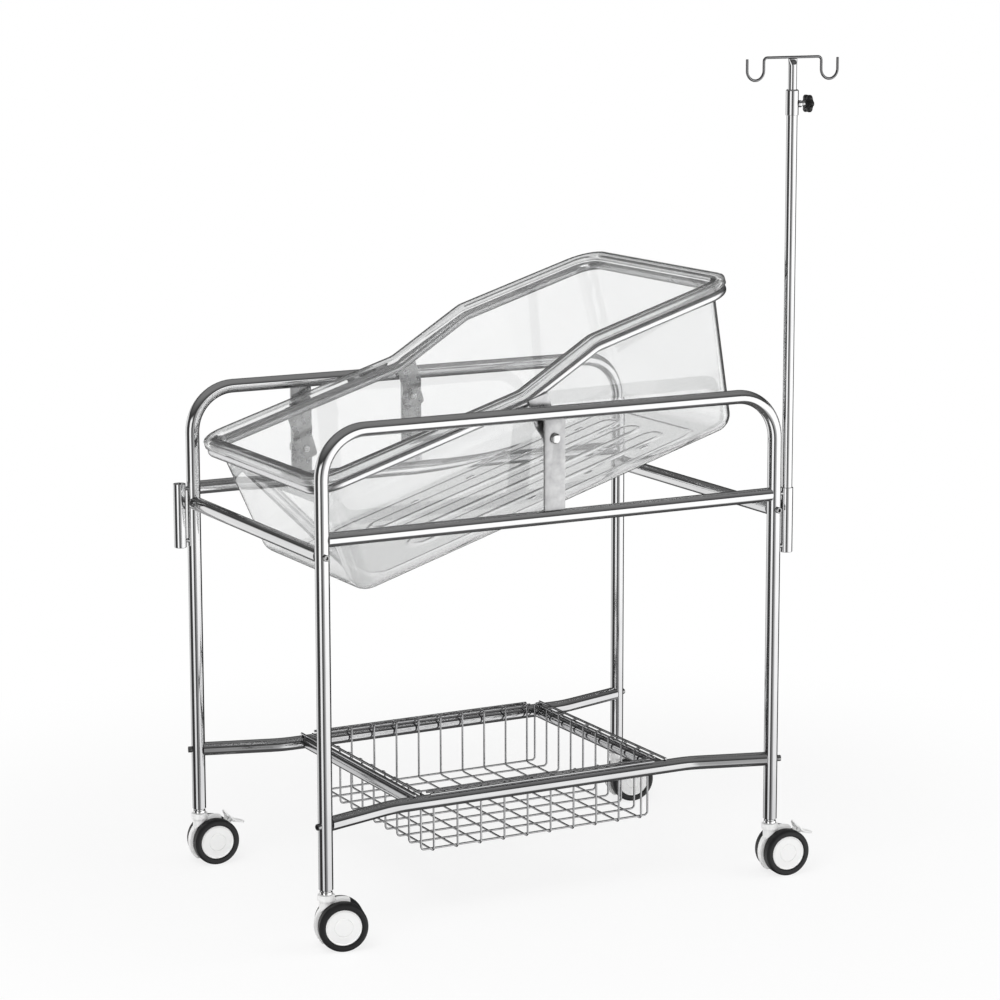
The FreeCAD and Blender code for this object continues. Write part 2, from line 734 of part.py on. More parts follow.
def caster_housing(braked):
    """Swivel collar, neck and the web with its fender between the wheels."""
    web = beside(-web_half, web_half, trail, wheel_z, 2 * fender_radius)
    web = web.common(box(trail - fender_radius - 1, trail + 13, -neck, neck, 9.0, 90.0))
    body = rod(V(0, 0, neck_low), V(0, 0, collar_high), neck)
    for y_sign in (-1, 1):
        body = body.cut(beside(y_sign * (wheel_inner - wheel_gap), y_sign * 3 * neck, trail, wheel_z,
                               2 * (wheel_radius + wheel_gap)))
    body = body.fuse([rod(V(0, 0, collar_low), V(0, 0, collar_high), collar), web])
    if braked:
        lug = beside(-lug_half, lug_half, pedal_x, pedal_z, pedal_lug)
        arm = box(trail, pedal_x, -lug_half, lug_half, pedal_z - arm_drop, pedal_z)
        body = body.fuse([lug, arm]).cut(beside(-neck, neck, pedal_x, pedal_z,
                                                pedal_pin + 2 * running))
    body = body.cut(rod(V(0, 0, stem_low - 1.5), V(0, 0, collar_high + 1), stem + 2 * running))
    body = body.cut(beside(-neck, neck, trail, wheel_z, axle + 2 * running))
    return body.removeSplitter()


def hub(y_sign):
    """Domed wheel disc with a blind axle bore on its inner side."""
    r = hub_radius - running
    dome = 2.0
    start = wheel_inner + 0.5
    ball = (r * r + dome * dome) / (2 * dome)
    disc = beside(start, wheel_outer, 0, 0, 2 * r)
    disc = disc.common(Part.makeSphere(ball, V(0, wheel_outer - ball, 0)))
    disc = disc.cut(beside(start - 1, wheel_outer - 4.0, 0, 0, axle + 2 * running))
    if y_sign < 0:
        disc = disc.mirror(V(0, 0, 0), Y_DIR)
    disc.translate(V(trail, 0, wheel_z))
    return disc


def tyre(y_sign):
    """Rubber tread with round shoulders."""
    y0 = wheel_inner
    y1 = wheel_outer
    shoulder = 4.0
    outer = beside(y0, y1, 0, 0, 2 * wheel_radius)
    rims = [edge for edge in outer.Edges if edge.Closed]
    outer = outer.makeFillet(shoulder, rims).cut(beside(y0 - 1, y1 + 1, 0, 0, 2 * hub_radius))
    if y_sign < 0:
        outer = outer.mirror(V(0, 0, 0), Y_DIR)
    outer.translate(V(trail, 0, wheel_z))
    return outer


def pedal_plate(tip, start, end, height, y0, y1):
    """Flat piece of the pedal that points from the pin towards a tread's tip."""
    pin = V(pedal_x, y0, pedal_z)
    heading = V(tip.x, 0, tip.z).normalize()
    side = V(-heading.z, 0, heading.x) * (height / 2)
    outline = [pin + heading * start + side, pin + heading * end + side,
               pin + heading * end - side, pin + heading * start - side]
    return Part.Face(Part.makePolygon(outline + [outline[0]])).extrude(Y_DIR * (y1 - y0))


def brake_pedal():
    """Rocker with two cheeks round the lug, two treads and its pin."""
    parts = []
    half = tread_width / 2
    for tip in (V(high_tread_x, 0, high_tread_z), V(low_tread_x, 0, low_tread_z)):
        tread = pedal_plate(tip, tread_start, tip.Length, tread_thickness, -half, half)
        rims = [edge for edge in tread.Edges
                if abs(edge.Length - tread_thickness) < 0.01
                and (edge.CenterOfMass - V(pedal_x, 0, pedal_z)).Length > tip.Length]
        parts.append(tread.makeFillet(half / 2, rims))
        for y0, y1 in ((-cheek_out, -lug_half - easy), (lug_half + easy, cheek_out)):
            parts.append(pedal_plate(tip, 0, tread_start + tread_thickness, cheek_height, y0, y1))
    for y0, y1 in ((-cheek_out, -lug_half - easy), (lug_half + easy, cheek_out)):
        parts.append(beside(y0, y1, pedal_x, pedal_z, pedal_lug))
    pin = beside(-cheek_out, cheek_out, pedal_x, pedal_z, pedal_pin)
    return pin.fuse(parts).removeSplitter()


rest_swivel = {"near_foot": near_foot_swivel, "near_head": near_head_swivel,
               "far_foot": far_foot_swivel, "far_head": far_head_swivel}


def set_caster(shape, end, side):
    """Place a caster piece under its leg, turned about the swivel axis."""
    turned = shape.copy()
    turned.rotate(V(0, 0, 0), Z_DIR, rest_swivel[side + "_" + end])
    turned.translate(V(ENDS[end] * leg_x, SIDES[side] * leg_y, 0))
    return turned


stems = []
for side in SIDES:
    for end in ENDS:
        name = side + "_" + end
        braked = name in ("far_foot", "near_head")
        pin = rod(V(0, 0, stem_low), V(0, 0, flange_low + 1), stem)
        flange_disc = rod(V(0, 0, flange_low), V(0, 0, leg_bottom_z), flange)
        plug_rod = rod(V(0, 0, leg_bottom_z - 1), V(0, 0, leg_bottom_z + plug_length), plug)
        stems.append(set_caster(pin.fuse([flange_disc, plug_rod]).removeSplitter(), end, side))
        pieces[name + "_housing"] = set_caster(caster_housing(braked), end, side)
        axle_end = wheel_outer - 4.5
        pieces[name + "_axle"] = set_caster(beside(-axle_end, axle_end, trail, wheel_z, axle),
                                            end, side)
        for label, y_sign in (("near", -1), ("far", 1)):
            pieces[name + "_hub_" + label] = set_caster(hub(y_sign), end, side)
            pieces[name + "_tyre_" + label] = set_caster(tyre(y_sign), end, side)
        if braked:
            pieces[name + "_brake_pedal"] = set_caster(brake_pedal(), end, side)
pieces["caster_stems"] = Part.Compound(stems)

# ---- move to the bottom centre of the whole object and write ----------------
whole = FreeCAD.BoundBox()
for shape in pieces.values():
    whole.add(shape.optimalBoundingBox(False))
origin = V(whole.Center.x, whole.Center.y, whole.ZMin)
os.makedirs("parts", exist_ok=True)
for name, shape in pieces.items():
    shape.translate(-origin)
    shape.exportStep("parts/" + name + ".step")
print("origin moved to", origin.x, origin.y, origin.z)
print("overall size", whole.XLength, whole.YLength, whole.ZLength)
print(len(pieces), "pieces,", sum(len(s.Solids) for s in pieces.values()), "solids")
for name, shape in pieces.items():
    if not shape.isValid() or not shape.Solids:
        print("INVALID", name)
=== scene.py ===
# %% [markdown]
# # A tilting hospital bassinet
# This lesson dresses a hospital bassinet whose solids are already made: a clear
# stepped tub hangs in a steel ring on a tubular trolley with twin-wheel casters,
# a wire basket and an infusion pole. The solids load first. They fix every size
# and every joint, and each new mesh is laid exactly over the solid it stands for.

# %% Load the frame
import math

import bmesh
import bpy
from mathutils import Matrix, Vector


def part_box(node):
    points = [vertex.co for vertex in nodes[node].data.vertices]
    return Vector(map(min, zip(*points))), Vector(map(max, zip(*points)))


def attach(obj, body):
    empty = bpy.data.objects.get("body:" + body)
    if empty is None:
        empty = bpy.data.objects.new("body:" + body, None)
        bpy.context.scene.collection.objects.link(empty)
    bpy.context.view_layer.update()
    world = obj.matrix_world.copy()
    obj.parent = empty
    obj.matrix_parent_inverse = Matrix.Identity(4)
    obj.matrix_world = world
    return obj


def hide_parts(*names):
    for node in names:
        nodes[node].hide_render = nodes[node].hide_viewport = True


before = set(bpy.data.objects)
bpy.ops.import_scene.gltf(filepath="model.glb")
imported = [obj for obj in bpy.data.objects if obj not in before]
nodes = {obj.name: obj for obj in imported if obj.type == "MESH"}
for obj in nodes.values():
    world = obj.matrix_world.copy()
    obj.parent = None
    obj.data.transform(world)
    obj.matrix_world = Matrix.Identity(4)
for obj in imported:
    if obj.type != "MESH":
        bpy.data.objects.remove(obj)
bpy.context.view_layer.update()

# %% [markdown]
# The steel frame was drawn from the point on the floor midway between its four
# legs, while the stored object is centred on its whole box. One helper turns
# millimetres from the legs' middle into metres in the stored frame, and a second
# one does the same for the tub's own tilted axes.

# %% Two ways to place a point
near_low, near_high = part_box("near_hoop")
far_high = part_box("far_hoop")[1]
LEGS_X = (near_low.x + near_high.x) / 2
LEGS_Y = (near_low.y + far_high.y) / 2
PIVOT_X, PIVOT_Z = -4.0, 743.0
TILT = math.radians(17.4)
LEG_X, LEG_Y = 392.5, 245.0
print("legs' middle at", round(LEGS_X, 4), round(LEGS_Y, 4))


def at(x, y, z):
    """Millimetres from the middle of the legs, as a point in metres."""
    return Vector((LEGS_X + x / 1000, LEGS_Y + y / 1000, z / 1000))


def in_tub(along, y, height):
    """The same, for a point given in the tub's tilted axes from its pivot."""
    x = PIVOT_X + along * math.cos(TILT) - height * math.sin(TILT)
    z = PIVOT_Z + along * math.sin(TILT) + height * math.cos(TILT)
    return at(x, y, z)


def add_object(name, data):
    """Object of a name, linked to the scene."""
    thing = bpy.data.objects.new(name, data)
    bpy.context.scene.collection.objects.link(thing)
    return thing


# %% [markdown]
# ## Camera
# A long lens far away keeps upright legs nearly parallel. The small downward
# shift drops the object a little in the frame without leaning its legs.

# %% Camera
YAW, PITCH, ROLL = 0.4886, -0.1686, -0.0019
CAMERA_PLACE = at(-2250.0, -4294.3, 1513.0)
camera_data = bpy.data.cameras.new("camera")
camera_data.sensor_width = 36.0
camera_data.lens = 111.63
camera_data.shift_y = -0.05
camera_data.clip_start, camera_data.clip_end = 0.05, 100.0
camera = add_object("camera", camera_data)
ahead = Vector((math.sin(YAW) * math.cos(PITCH), math.cos(YAW) * math.cos(PITCH),
                math.sin(PITCH)))
level_right = Vector((math.cos(YAW), -math.sin(YAW), 0.0))
level_up = level_right.cross(ahead)
right = level_right * math.cos(ROLL) + level_up * math.sin(ROLL)
up = level_up * math.cos(ROLL) - level_right * math.sin(ROLL)
turn = Matrix((right, up, -ahead)).transposed().to_4x4()
camera.matrix_world = Matrix.Translation(CAMERA_PLACE) @ turn
bpy.context.scene.camera = camera
bpy.context.scene.view_settings.view_transform = "Standard"
print("camera at", [round(c, 3) for c in camera.matrix_world.translation])

# %% [markdown]
# ## Studio
# The studio and the finishes are made of shader nodes. A few helpers add a node,
# feed its inputs from numbers or from other nodes, and return what it gives.

# %% Helpers for nodes
def grey(level, blue=0.0):
    """Opaque grey, with a little more or less blue in it."""
    return (level, level, level + blue, 1.0)


def feed(tree, node, inputs):
    """Set each input of a node, or link it where its value is a socket."""
    for key, value in inputs.items():
        if isinstance(value, bpy.types.NodeSocket):
            tree.links.new(value, node.inputs[key])
        else:
            node.inputs[key].default_value = value
    return node


def add_node(tree, kind, inputs, operation=None):
    """Add a node and feed it."""
    node = tree.nodes.new(kind)
    if operation:
        node.operation = operation
    return feed(tree, node, inputs)


def maths(tree, operation, *values):
    """Result of one Math node."""
    return add_node(tree, "ShaderNodeMath", dict(enumerate(values)), operation).outputs[0]


def ramp(tree, value, stops):
    """Grey levels at places along a value that runs from 0 to 1."""
    node = add_node(tree, "ShaderNodeValToRGB", {0: value})
    elements = node.color_ramp.elements
    while len(elements) < len(stops):
        elements.new(0.5)
    for element, (place, level) in zip(elements, stops):
        element.position = place
        element.color = grey(level)
    return node.outputs[0]


def mix(tree, share, first, second, blend="MIX"):
    """Blend of two colours."""
    node = tree.nodes.new("ShaderNodeMix")
    node.data_type = "RGBA"
    node.blend_type = blend
    return feed(tree, node, {0: share, 6: first, 7: second}).outputs[2]


def choice(tree, share, first, second):
    """The second shader where the share is 1, the first where it is 0."""
    return add_node(tree, "ShaderNodeMixShader", {0: share, 1: first, 2: second}).outputs[0]


# %% [markdown]
# Polished tube only looks like metal when it has something to mirror. The world
# is plain white to the camera. Through clear plastic it is white too, and dimmer
# higher up. For reflections it is a room: tall white screens and dark flags stand
# round the object in set directions, so each tube shows long bright and dark
# lines. The ground is dark grey, and the dark ceiling grows lighter overhead. A
# ray that is mirrored before it passes the plastic sees that room too.

# %% World
SOFT_LIGHT = 0.55
SCREENS_RIGHT, SCREENS_FRONT = (0.883, -0.469, 0.0), (-0.469, -0.883, 0.0)
SCREENS = [(-180, 0.10), (-152, 0.10), (-142, 1.3), (-108, 1.3), (-99, 0.22), (-80, 0.07),
           (-50, 0.07), (-43, 1.8), (-20, 1.8), (-13, 0.12), (3, 0.12), (12, 0.45), (30, 0.9),
           (41, 1.95), (108, 1.95), (117, 0.04), (180, 0.04)]
CEILING, CEILING_EDGE = [(0.66, 0.06), (0.90, 0.34)], [(0.59, 0.0), (0.64, 1.0)]
GROUND, GROUND_EDGE = 0.16, [(0.09, 1.0), (0.15, 0.0)]
THROUGH_PLASTIC = [(0.575, 1.0), (0.65, 0.2)]
world = bpy.data.worlds.new("studio")
bpy.context.scene.world = world
world.use_nodes = True
sky = world.node_tree
sky.nodes.clear()
direction = sky.nodes.new("ShaderNodeTexCoord").outputs["Generated"]
path = sky.nodes.new("ShaderNodeLightPath").outputs


def along_ray(vector):
    """How far the ray points along a direction, from -1 to 1."""
    node = add_node(sky, "ShaderNodeVectorMath", {0: direction, 1: vector}, "DOT_PRODUCT")
    return node.outputs["Value"]


def background(colour, strength=1.0):
    """Light of one colour from the whole world."""
    return add_node(sky, "ShaderNodeBackground", {0: colour, 1: strength}).outputs[0]


height_share = maths(sky, "MULTIPLY_ADD", along_ray((0.0, 0.0, 1.0)), 0.5, 0.5)
round_share = maths(sky, "MULTIPLY_ADD",
                    maths(sky, "ARCTAN2", along_ray(SCREENS_RIGHT), along_ray(SCREENS_FRONT)),
                    0.5 / math.pi, 0.5)
screens = ramp(sky, round_share, [((angle + 180) / 360, level) for angle, level in SCREENS])
under_ceiling = mix(sky, ramp(sky, height_share, CEILING_EDGE), screens,
                    ramp(sky, height_share, CEILING))
room = mix(sky, ramp(sky, height_share, GROUND_EDGE), under_ceiling, grey(GROUND))
mirror_ray = maths(sky, "MAXIMUM", path["Is Glossy Ray"], path["Is Transmission Ray"])
unmirrored = maths(sky, "LESS_THAN", path["Glossy Depth"], 0.5)
clear_ray = maths(sky, "MULTIPLY", path["Is Transmission Ray"], unmirrored)
studio_light = background(grey(1.0), SOFT_LIGHT)
for share, colour in ((mirror_ray, room), (clear_ray, ramp(sky, height_share, THROUGH_PLASTIC)),
                      (path["Is Camera Ray"], grey(1.0))):
    studio_light = choice(sky, share, studio_light, background(colour))
add_node(sky, "ShaderNodeOutputWorld", {0: studio_light})
print("world with", len(sky.nodes), "nodes")

# %% [markdown]
# Two large soft lamps stand in for studio boxes. They are big so that shadows on
# the floor stay faint and wide, and they don't show in the metal, where the
# screens already draw the lines.

# %% Lamps
def soft_lamp(name, place, target, size, watts):
    """Square area lamp aimed at a point."""
    data = bpy.data.lights.new(name, "AREA")
    data.shape = "SQUARE"
    data.size = size
    data.energy = watts
    lamp = add_object(name, data)
    aimed = (target - place).to_track_quat("-Z", "Y").to_matrix().to_4x4()
    lamp.matrix_world = Matrix.Translation(place) @ aimed
    lamp.visible_glossy = False


aim = at(0, 0, 550)
soft_lamp("key_lamp", at(-1800, -1500, 2900), aim, 2.2, 60.0)
soft_lamp("fill_lamp", at(2300, -1400, 2200), aim, 2.0, 26.0)

# %% [markdown]
# The floor is a round sheet of pale paper that mirrors leave out. Seen by the
# camera or through clear plastic, it glows a little more towards its edge, so
# that it melts into the white background, while the shadows near the wheels stay.

# %% Floor
FLOOR_RADIUS, FLOOR_GLOW = 1.9, 0.80
GLOW_START, GLOW_END = 0.55, 1.5
bm = bmesh.new()
bmesh.ops.create_circle(bm, cap_ends=True, radius=FLOOR_RADIUS, segments=96)
floor_mesh = bpy.data.meshes.new("studio_floor")
bm.to_mesh(floor_mesh)
bm.free()
floor = add_object("studio_floor", floor_mesh)
floor_finish = bpy.data.materials.new("studio_floor")
floor_finish.use_nodes = True
paper = floor_finish.node_tree
paper_shader = feed(paper, paper.nodes["Principled BSDF"],
                    {"Base Color": grey(0.92), "Roughness": 0.6, "Specular IOR Level": 0.2})
paper_place = paper.nodes.new("ShaderNodeTexCoord").outputs["Object"]
from_middle = add_node(paper, "ShaderNodeVectorMath", {0: paper_place}, "LENGTH")
glow = add_node(paper, "ShaderNodeMapRange",
                {"Value": from_middle.outputs["Value"], "From Min": GLOW_START,
                 "From Max": GLOW_END, "To Min": FLOOR_GLOW, "To Max": 1.0})
glow.interpolation_type = "SMOOTHSTEP"
rays = paper.nodes.new("ShaderNodeLightPath").outputs
seen = maths(paper, "MAXIMUM", rays["Is Camera Ray"], rays["Is Transmission Ray"])
seen = maths(paper, "MAXIMUM", seen, rays["Is Glossy Ray"])
glow_share = maths(paper, "MULTIPLY", seen, glow.outputs["Result"])
glowing = add_node(paper, "ShaderNodeEmission", {0: grey(1.0)}).outputs[0]
feed(paper, paper.nodes["Material Output"],
     {0: choice(paper, glow_share, paper_shader.outputs[0], glowing)})
floor_mesh.materials.append(floor_finish)
floor.visible_glossy = False

# %% [markdown]
# ## Finishes
# Effects that several finishes share are node groups, built once. The first one
# makes the fine lengthwise lines that polishing belts leave on tube. It reads two
# attributes that each tube mesh carries: where a point is around the tube and how
# far along it. It can also paint shade on a tube: its colour darkens towards the floor.

# %% Shared effect: polishing lines along a tube
BUMP_HEIGHT = 0.0002
LINE_STRETCH, LINE_SHADE, LEAST_ROUGH = 0.03, 0.25, 0.05
PAINTED_SHADE_BELOW = 0.62


def new_group(name, inputs):
    """Group with number inputs. It gives a roughness, a shade and a normal."""
    group = bpy.data.node_groups.new(name, "ShaderNodeTree")
    for label, value in inputs.items():
        socket = group.interface.new_socket(name=label, in_out="INPUT",
                                            socket_type="NodeSocketFloat")
        socket.default_value = value
    for label, kind in (("Roughness", "NodeSocketFloat"), ("Shade", "NodeSocketFloat"),
                        ("Normal", "NodeSocketVector")):
        group.interface.new_socket(name=label, in_out="OUTPUT", socket_type=kind)
    return group, group.nodes.new("NodeGroupInput").outputs, group.nodes.new("NodeGroupOutput")


def attribute(tree, name):
    """Outputs of a node that reads one attribute of the mesh."""
    node = tree.nodes.new("ShaderNodeAttribute")
    node.attribute_name = name
    return node.outputs


def bumps(tree, depth, height):
    """Normal of a surface with very low bumps."""
    return add_node(tree, "ShaderNodeBump",
                    {"Distance": BUMP_HEIGHT, "Strength": depth, "Height": height}).outputs[0]


belt_lines, given, result = new_group(
    "belt_lines", {"Fineness": 900.0, "Depth": 0.1, "Roughness": 0.18, "Spread": 0.12,
                   "Dulling": 0.0})
slow_along = maths(belt_lines, "MULTIPLY", attribute(belt_lines, "along")["Fac"], LINE_STRETCH)
lift = add_node(belt_lines, "ShaderNodeCombineXYZ", {2: slow_along}).outputs[0]
spot = add_node(belt_lines, "ShaderNodeVectorMath",
                {0: attribute(belt_lines, "around")["Vector"], 1: lift}, "ADD").outputs[0]
lines = add_node(belt_lines, "ShaderNodeTexNoise",
                 {"Vector": spot, "Scale": given["Fineness"], "Detail": 3.0}).outputs[0]
place = belt_lines.nodes.new("ShaderNodeTexCoord").outputs["Object"]
cloud = add_node(belt_lines, "ShaderNodeTexNoise", {"Vector": place, "Scale": 9.0}).outputs[0]
uneven = maths(belt_lines, "SUBTRACT", maths(belt_lines, "ADD", lines, cloud), 1.0)
spread = maths(belt_lines, "MULTIPLY", uneven, given["Spread"])
rough = maths(belt_lines, "ADD", given["Roughness"], spread)
shade = maths(belt_lines, "ADD", maths(belt_lines, "MULTIPLY", uneven, LINE_SHADE), 0.5)
# Painted shade: below a set height the shade drops, so the colour darkens towards the floor.
height = add_node(belt_lines, "ShaderNodeSeparateXYZ", {0: place}).outputs["Z"]
lowness = maths(belt_lines, "SUBTRACT", 1.0, maths(belt_lines, "DIVIDE", height, PAINTED_SHADE_BELOW))
painted_shade = maths(belt_lines, "MULTIPLY", maths(belt_lines, "MAXIMUM", lowness, 0.0),
               given["Dulling"])
feed(belt_lines, result,
     {"Roughness": maths(belt_lines, "MAXIMUM", rough, LEAST_ROUGH),
      "Shade": maths(belt_lines, "SUBTRACT", shade, painted_shade),
      "Normal": bumps(belt_lines, given["Depth"], lines)})

# %% [markdown]
# The second shared effect is a very fine, even grain with a slow cloud over it:
# moulded plastic, rubber and flat steel strip all have it, each in its own amount.

# %% Shared effect: moulded grain
grain, given, result = new_group(
    "surface_grain", {"Scale": 700.0, "Depth": 0.08, "Roughness": 0.4, "Spread": 0.1,
                      "Cloud": 14.0, "Contrast": 0.6})
place = grain.nodes.new("ShaderNodeTexCoord").outputs["Object"]
fine = add_node(grain, "ShaderNodeTexNoise",
                {"Vector": place, "Scale": given["Scale"], "Detail": 2.0}).outputs[0]
slow = add_node(grain, "ShaderNodeTexNoise",
                {"Vector": place, "Scale": given["Cloud"], "Detail": 4.0}).outputs[0]
drift = maths(grain, "SUBTRACT", slow, 0.5)
spread = maths(grain, "MULTIPLY", drift, given["Spread"])
contrast = maths(grain, "MULTIPLY", drift, given["Contrast"])
feed(grain, result, {"Roughness": maths(grain, "ADD", given["Roughness"], spread),
                     "Shade": maths(grain, "ADD", contrast, 0.5),
                     "Normal": bumps(grain, given["Depth"], fine)})

# %% [markdown]
# Each finish keeps its own Principled shader. A group only sends it a roughness,
# a shade between a darker and a lighter colour, and a surface normal.

# %% Finishes
METAL = {"Metallic": 1.0}


def finish(name, group, darker, lighter, shader_values, **group_values):
    """Material with one shared effect and its own Principled shader."""
    material = bpy.data.materials.new(name)
    material.use_nodes = True
    tree = material.node_tree
    effect = tree.nodes.new("ShaderNodeGroup")
    effect.node_tree = group
    feed(tree, effect, group_values)
    feed(tree, tree.nodes["Principled BSDF"],
         {"Base Color": mix(tree, effect.outputs["Shade"], darker, lighter),
          "Roughness": effect.outputs["Roughness"], "Normal": effect.outputs["Normal"],
          **shader_values})
    return material


# Tube steel gets painted shade, its colour darker towards the floor.
tube_steel = finish("tube_steel", belt_lines, grey(0.29, 0.005), grey(0.78), METAL,
                    Fineness=700.0, Depth=0.015, Roughness=0.10, Spread=0.07, Dulling=0.4)
ring_steel = finish("ring_steel", belt_lines, grey(0.46, 0.01), grey(0.66), METAL,
                    Fineness=500.0, Depth=0.0, Roughness=0.27, Spread=0.08)
# Wire steel, also put on the two cross rails as painted shade.
wire_steel_and_rail_shade = finish("wire_steel_and_rail_shade", belt_lines, grey(0.24, 0.01), grey(0.48), METAL,
                    Fineness=1500.0, Depth=0.1, Roughness=0.13, Spread=0.08)
hook_steel = finish("hook_steel", belt_lines, grey(0.10, 0.005), grey(0.24), METAL,
                    Fineness=1500.0, Depth=0.05, Roughness=0.2, Spread=0.08)
strip_steel = finish("strip_steel", grain, grey(0.20, 0.005), grey(0.56), METAL,
                     Scale=420.0, Depth=0.3, Roughness=0.30, Spread=0.5, Cloud=60.0,
                     Contrast=1.8)
screw_steel = finish("screw_steel", grain, grey(0.16), grey(0.34), METAL,
                     Scale=500.0, Depth=0.05, Roughness=0.15, Spread=0.12)
# Strip steel made darker for the near pivot bar only: painted shade on a bar of the same steel
# as the far one.
shaded_bar_steel = finish("shaded_bar_steel", grain, grey(0.24, 0.005), grey(0.48), METAL,
                   Scale=420.0, Depth=0.25, Roughness=0.34, Spread=0.3, Cloud=70.0,
                   Contrast=1.5)
bolt_steel = finish("bolt_steel", grain, grey(0.42), grey(0.68), METAL,
                    Scale=500.0, Depth=0.05, Roughness=0.16, Spread=0.12)
bright_steel = finish("bright_steel", grain, grey(0.55), grey(0.82), METAL,
                      Scale=500.0, Depth=0.05, Roughness=0.14, Spread=0.12)
white_plastic = finish("white_plastic", grain, grey(0.91, -0.005), grey(0.97, -0.005),
                       {"Specular IOR Level": 0.5},
                       Scale=900.0, Depth=0.06, Roughness=0.32, Spread=0.12)
pale_plastic = finish("pale_plastic", grain, grey(0.62), grey(0.74), {},
                      Scale=900.0, Depth=0.1, Roughness=0.4, Spread=0.15)
black_plastic = finish("black_plastic", grain, grey(0.004), grey(0.012),
                       {"Specular IOR Level": 0.3},
                       Scale=800.0, Depth=0.1, Roughness=0.34, Spread=0.12)
tyre_rubber = finish("tyre_rubber", grain, grey(0.006), grey(0.016, 0.001),
                     {"Specular IOR Level": 0.3},
                     Scale=1100.0, Depth=0.25, Roughness=0.5, Spread=0.2)
clear_plastic = finish("clear_plastic", grain, (0.89, 0.895, 0.895, 1.0),
                       (0.95, 0.952, 0.952, 1.0), {"IOR": 1.49, "Transmission Weight": 0.94},
                       Scale=12.0, Depth=0.02, Roughness=0.015, Spread=0.02)

# %% [markdown]
# Clear plastic looks darker where it is seen edge on, because the eye looks
# through more of it. A Layer Weight node measures that, in the material itself.

# %% Darker edges on the clear plastic
EDGE_SHADES = [(0.76, 1.0), (0.99, 0.12)]
tree = clear_plastic.node_tree
colour = tree.nodes["Principled BSDF"].inputs["Base Color"]
edge_on = add_node(tree, "ShaderNodeLayerWeight", {"Blend": 0.5}).outputs["Facing"]
tree.links.new(mix(tree, 1.0, colour.links[0].from_socket, ramp(tree, edge_on, EDGE_SHADES),
                   "MULTIPLY"), colour)
print(len(bpy.data.materials), "finishes")

# %% [markdown]
# ## Helpers for meshes
# The bmesh operators return mixed lists. These helpers pick out what the next
# step needs, and keep the settings that never change in one place.

# %% Helpers for bmesh
def verts_in(items):
    """The vertices in an operator's result."""
    return [item for item in items if isinstance(item, bmesh.types.BMVert)]


def edges_in(items):
    """The edges in an operator's result."""
    return [item for item in items if isinstance(item, bmesh.types.BMEdge)]


def edges_of(verts):
    """Every edge that meets one of the vertices."""
    return list({edge for vert in verts for edge in vert.link_edges})


def faces_of(verts):
    """Every face that meets one of the vertices."""
    return list({face for vert in verts for face in vert.link_faces})


def added(bm, before):
    """The vertices that weren't there before."""
    return [vert for vert in bm.verts if vert not in before]


def extrude_loop(bm, edges):
    """Extrude a loop of edges, and return the new loop's vertices and edges."""
    new = bmesh.ops.extrude_edge_only(bm, edges=edges)["geom"]
    ring = verts_in(new)
    inside = set(ring)
    return ring, [edge for edge in edges_in(new) if inside.issuperset(edge.verts)]


def soften(bm, geom, size, segments, affect="VERTICES"):
    """Round corners or edges by a size in millimetres."""
    return bmesh.ops.bevel(bm, geom=geom, offset=size / 1000, offset_type="OFFSET",
                           segments=segments, profile=0.5, affect=affect, material=-1)


def stand(place, direction):
    """Matrix that stands local Z along a direction, at a place."""
    return Matrix.Translation(place) @ Vector(direction).to_track_quat(
        "Z", "Y").to_matrix().to_4x4()


def prism(bm, radius, sides, height):
    """Add an upright prism in millimetres, and return its vertices."""
    ring = bmesh.ops.create_circle(bm, cap_ends=True, radius=radius / 1000,
                                   segments=sides)["verts"]
    tall = verts_in(bmesh.ops.extrude_face_region(bm, geom=faces_of(ring))["geom"])
    bmesh.ops.translate(bm, vec=(0, 0, height / 1000), verts=tall)
    return ring + tall


# %% [markdown]
# Every tube, rod and wire is the same kind of shape: a circle carried along a
# path of straight runs and round bends. The circle is extruded over each run and
# spun round each bend, and it carries the two attributes for the polishing lines.

# %% Carry a circle along a path
def corners_to_moves(points, radii):
    """Straight runs and bends that follow corner points, as a list of moves."""
    moves = []
    last = points[0]
    for before, corner, after, radius in zip(points, points[1:], points[2:], radii):
        back = (before - corner).normalized()
        forward = (after - corner).normalized()
        turn = math.pi - back.angle(forward)
        reach = radius / 1000 * math.tan(turn / 2)
        first = corner + back * reach
        centre = corner + (back + forward).normalized() * (radius / 1000 / math.cos(turn / 2))
        axis = (-back).cross(forward).normalized()
        if (first - last).length > 1e-6:
            moves.append(("run", first - last))
        moves.append(("bend", centre, axis, turn, radius / 1000))
        last = corner + forward * reach
    if (points[-1] - last).length > 1e-6:
        moves.append(("run", points[-1] - last))
    return moves


def tube_layers(bm):
    """The two attributes that the polishing lines read."""
    layers = bm.verts.layers
    return (layers.float_vector.get("around") or layers.float_vector.new("around"),
            layers.float.get("along") or layers.float.new("along"))


def narrow_end(bm, edges, step, scale):
    """Extrude an open end by a step and narrow it, for a chamfer."""
    ring, edges = extrude_loop(bm, edges)
    middle = sum((vert.co for vert in ring), Vector()) / len(ring)
    for vert in ring:
        vert.co = middle + (vert.co - middle) * scale + step
    return edges


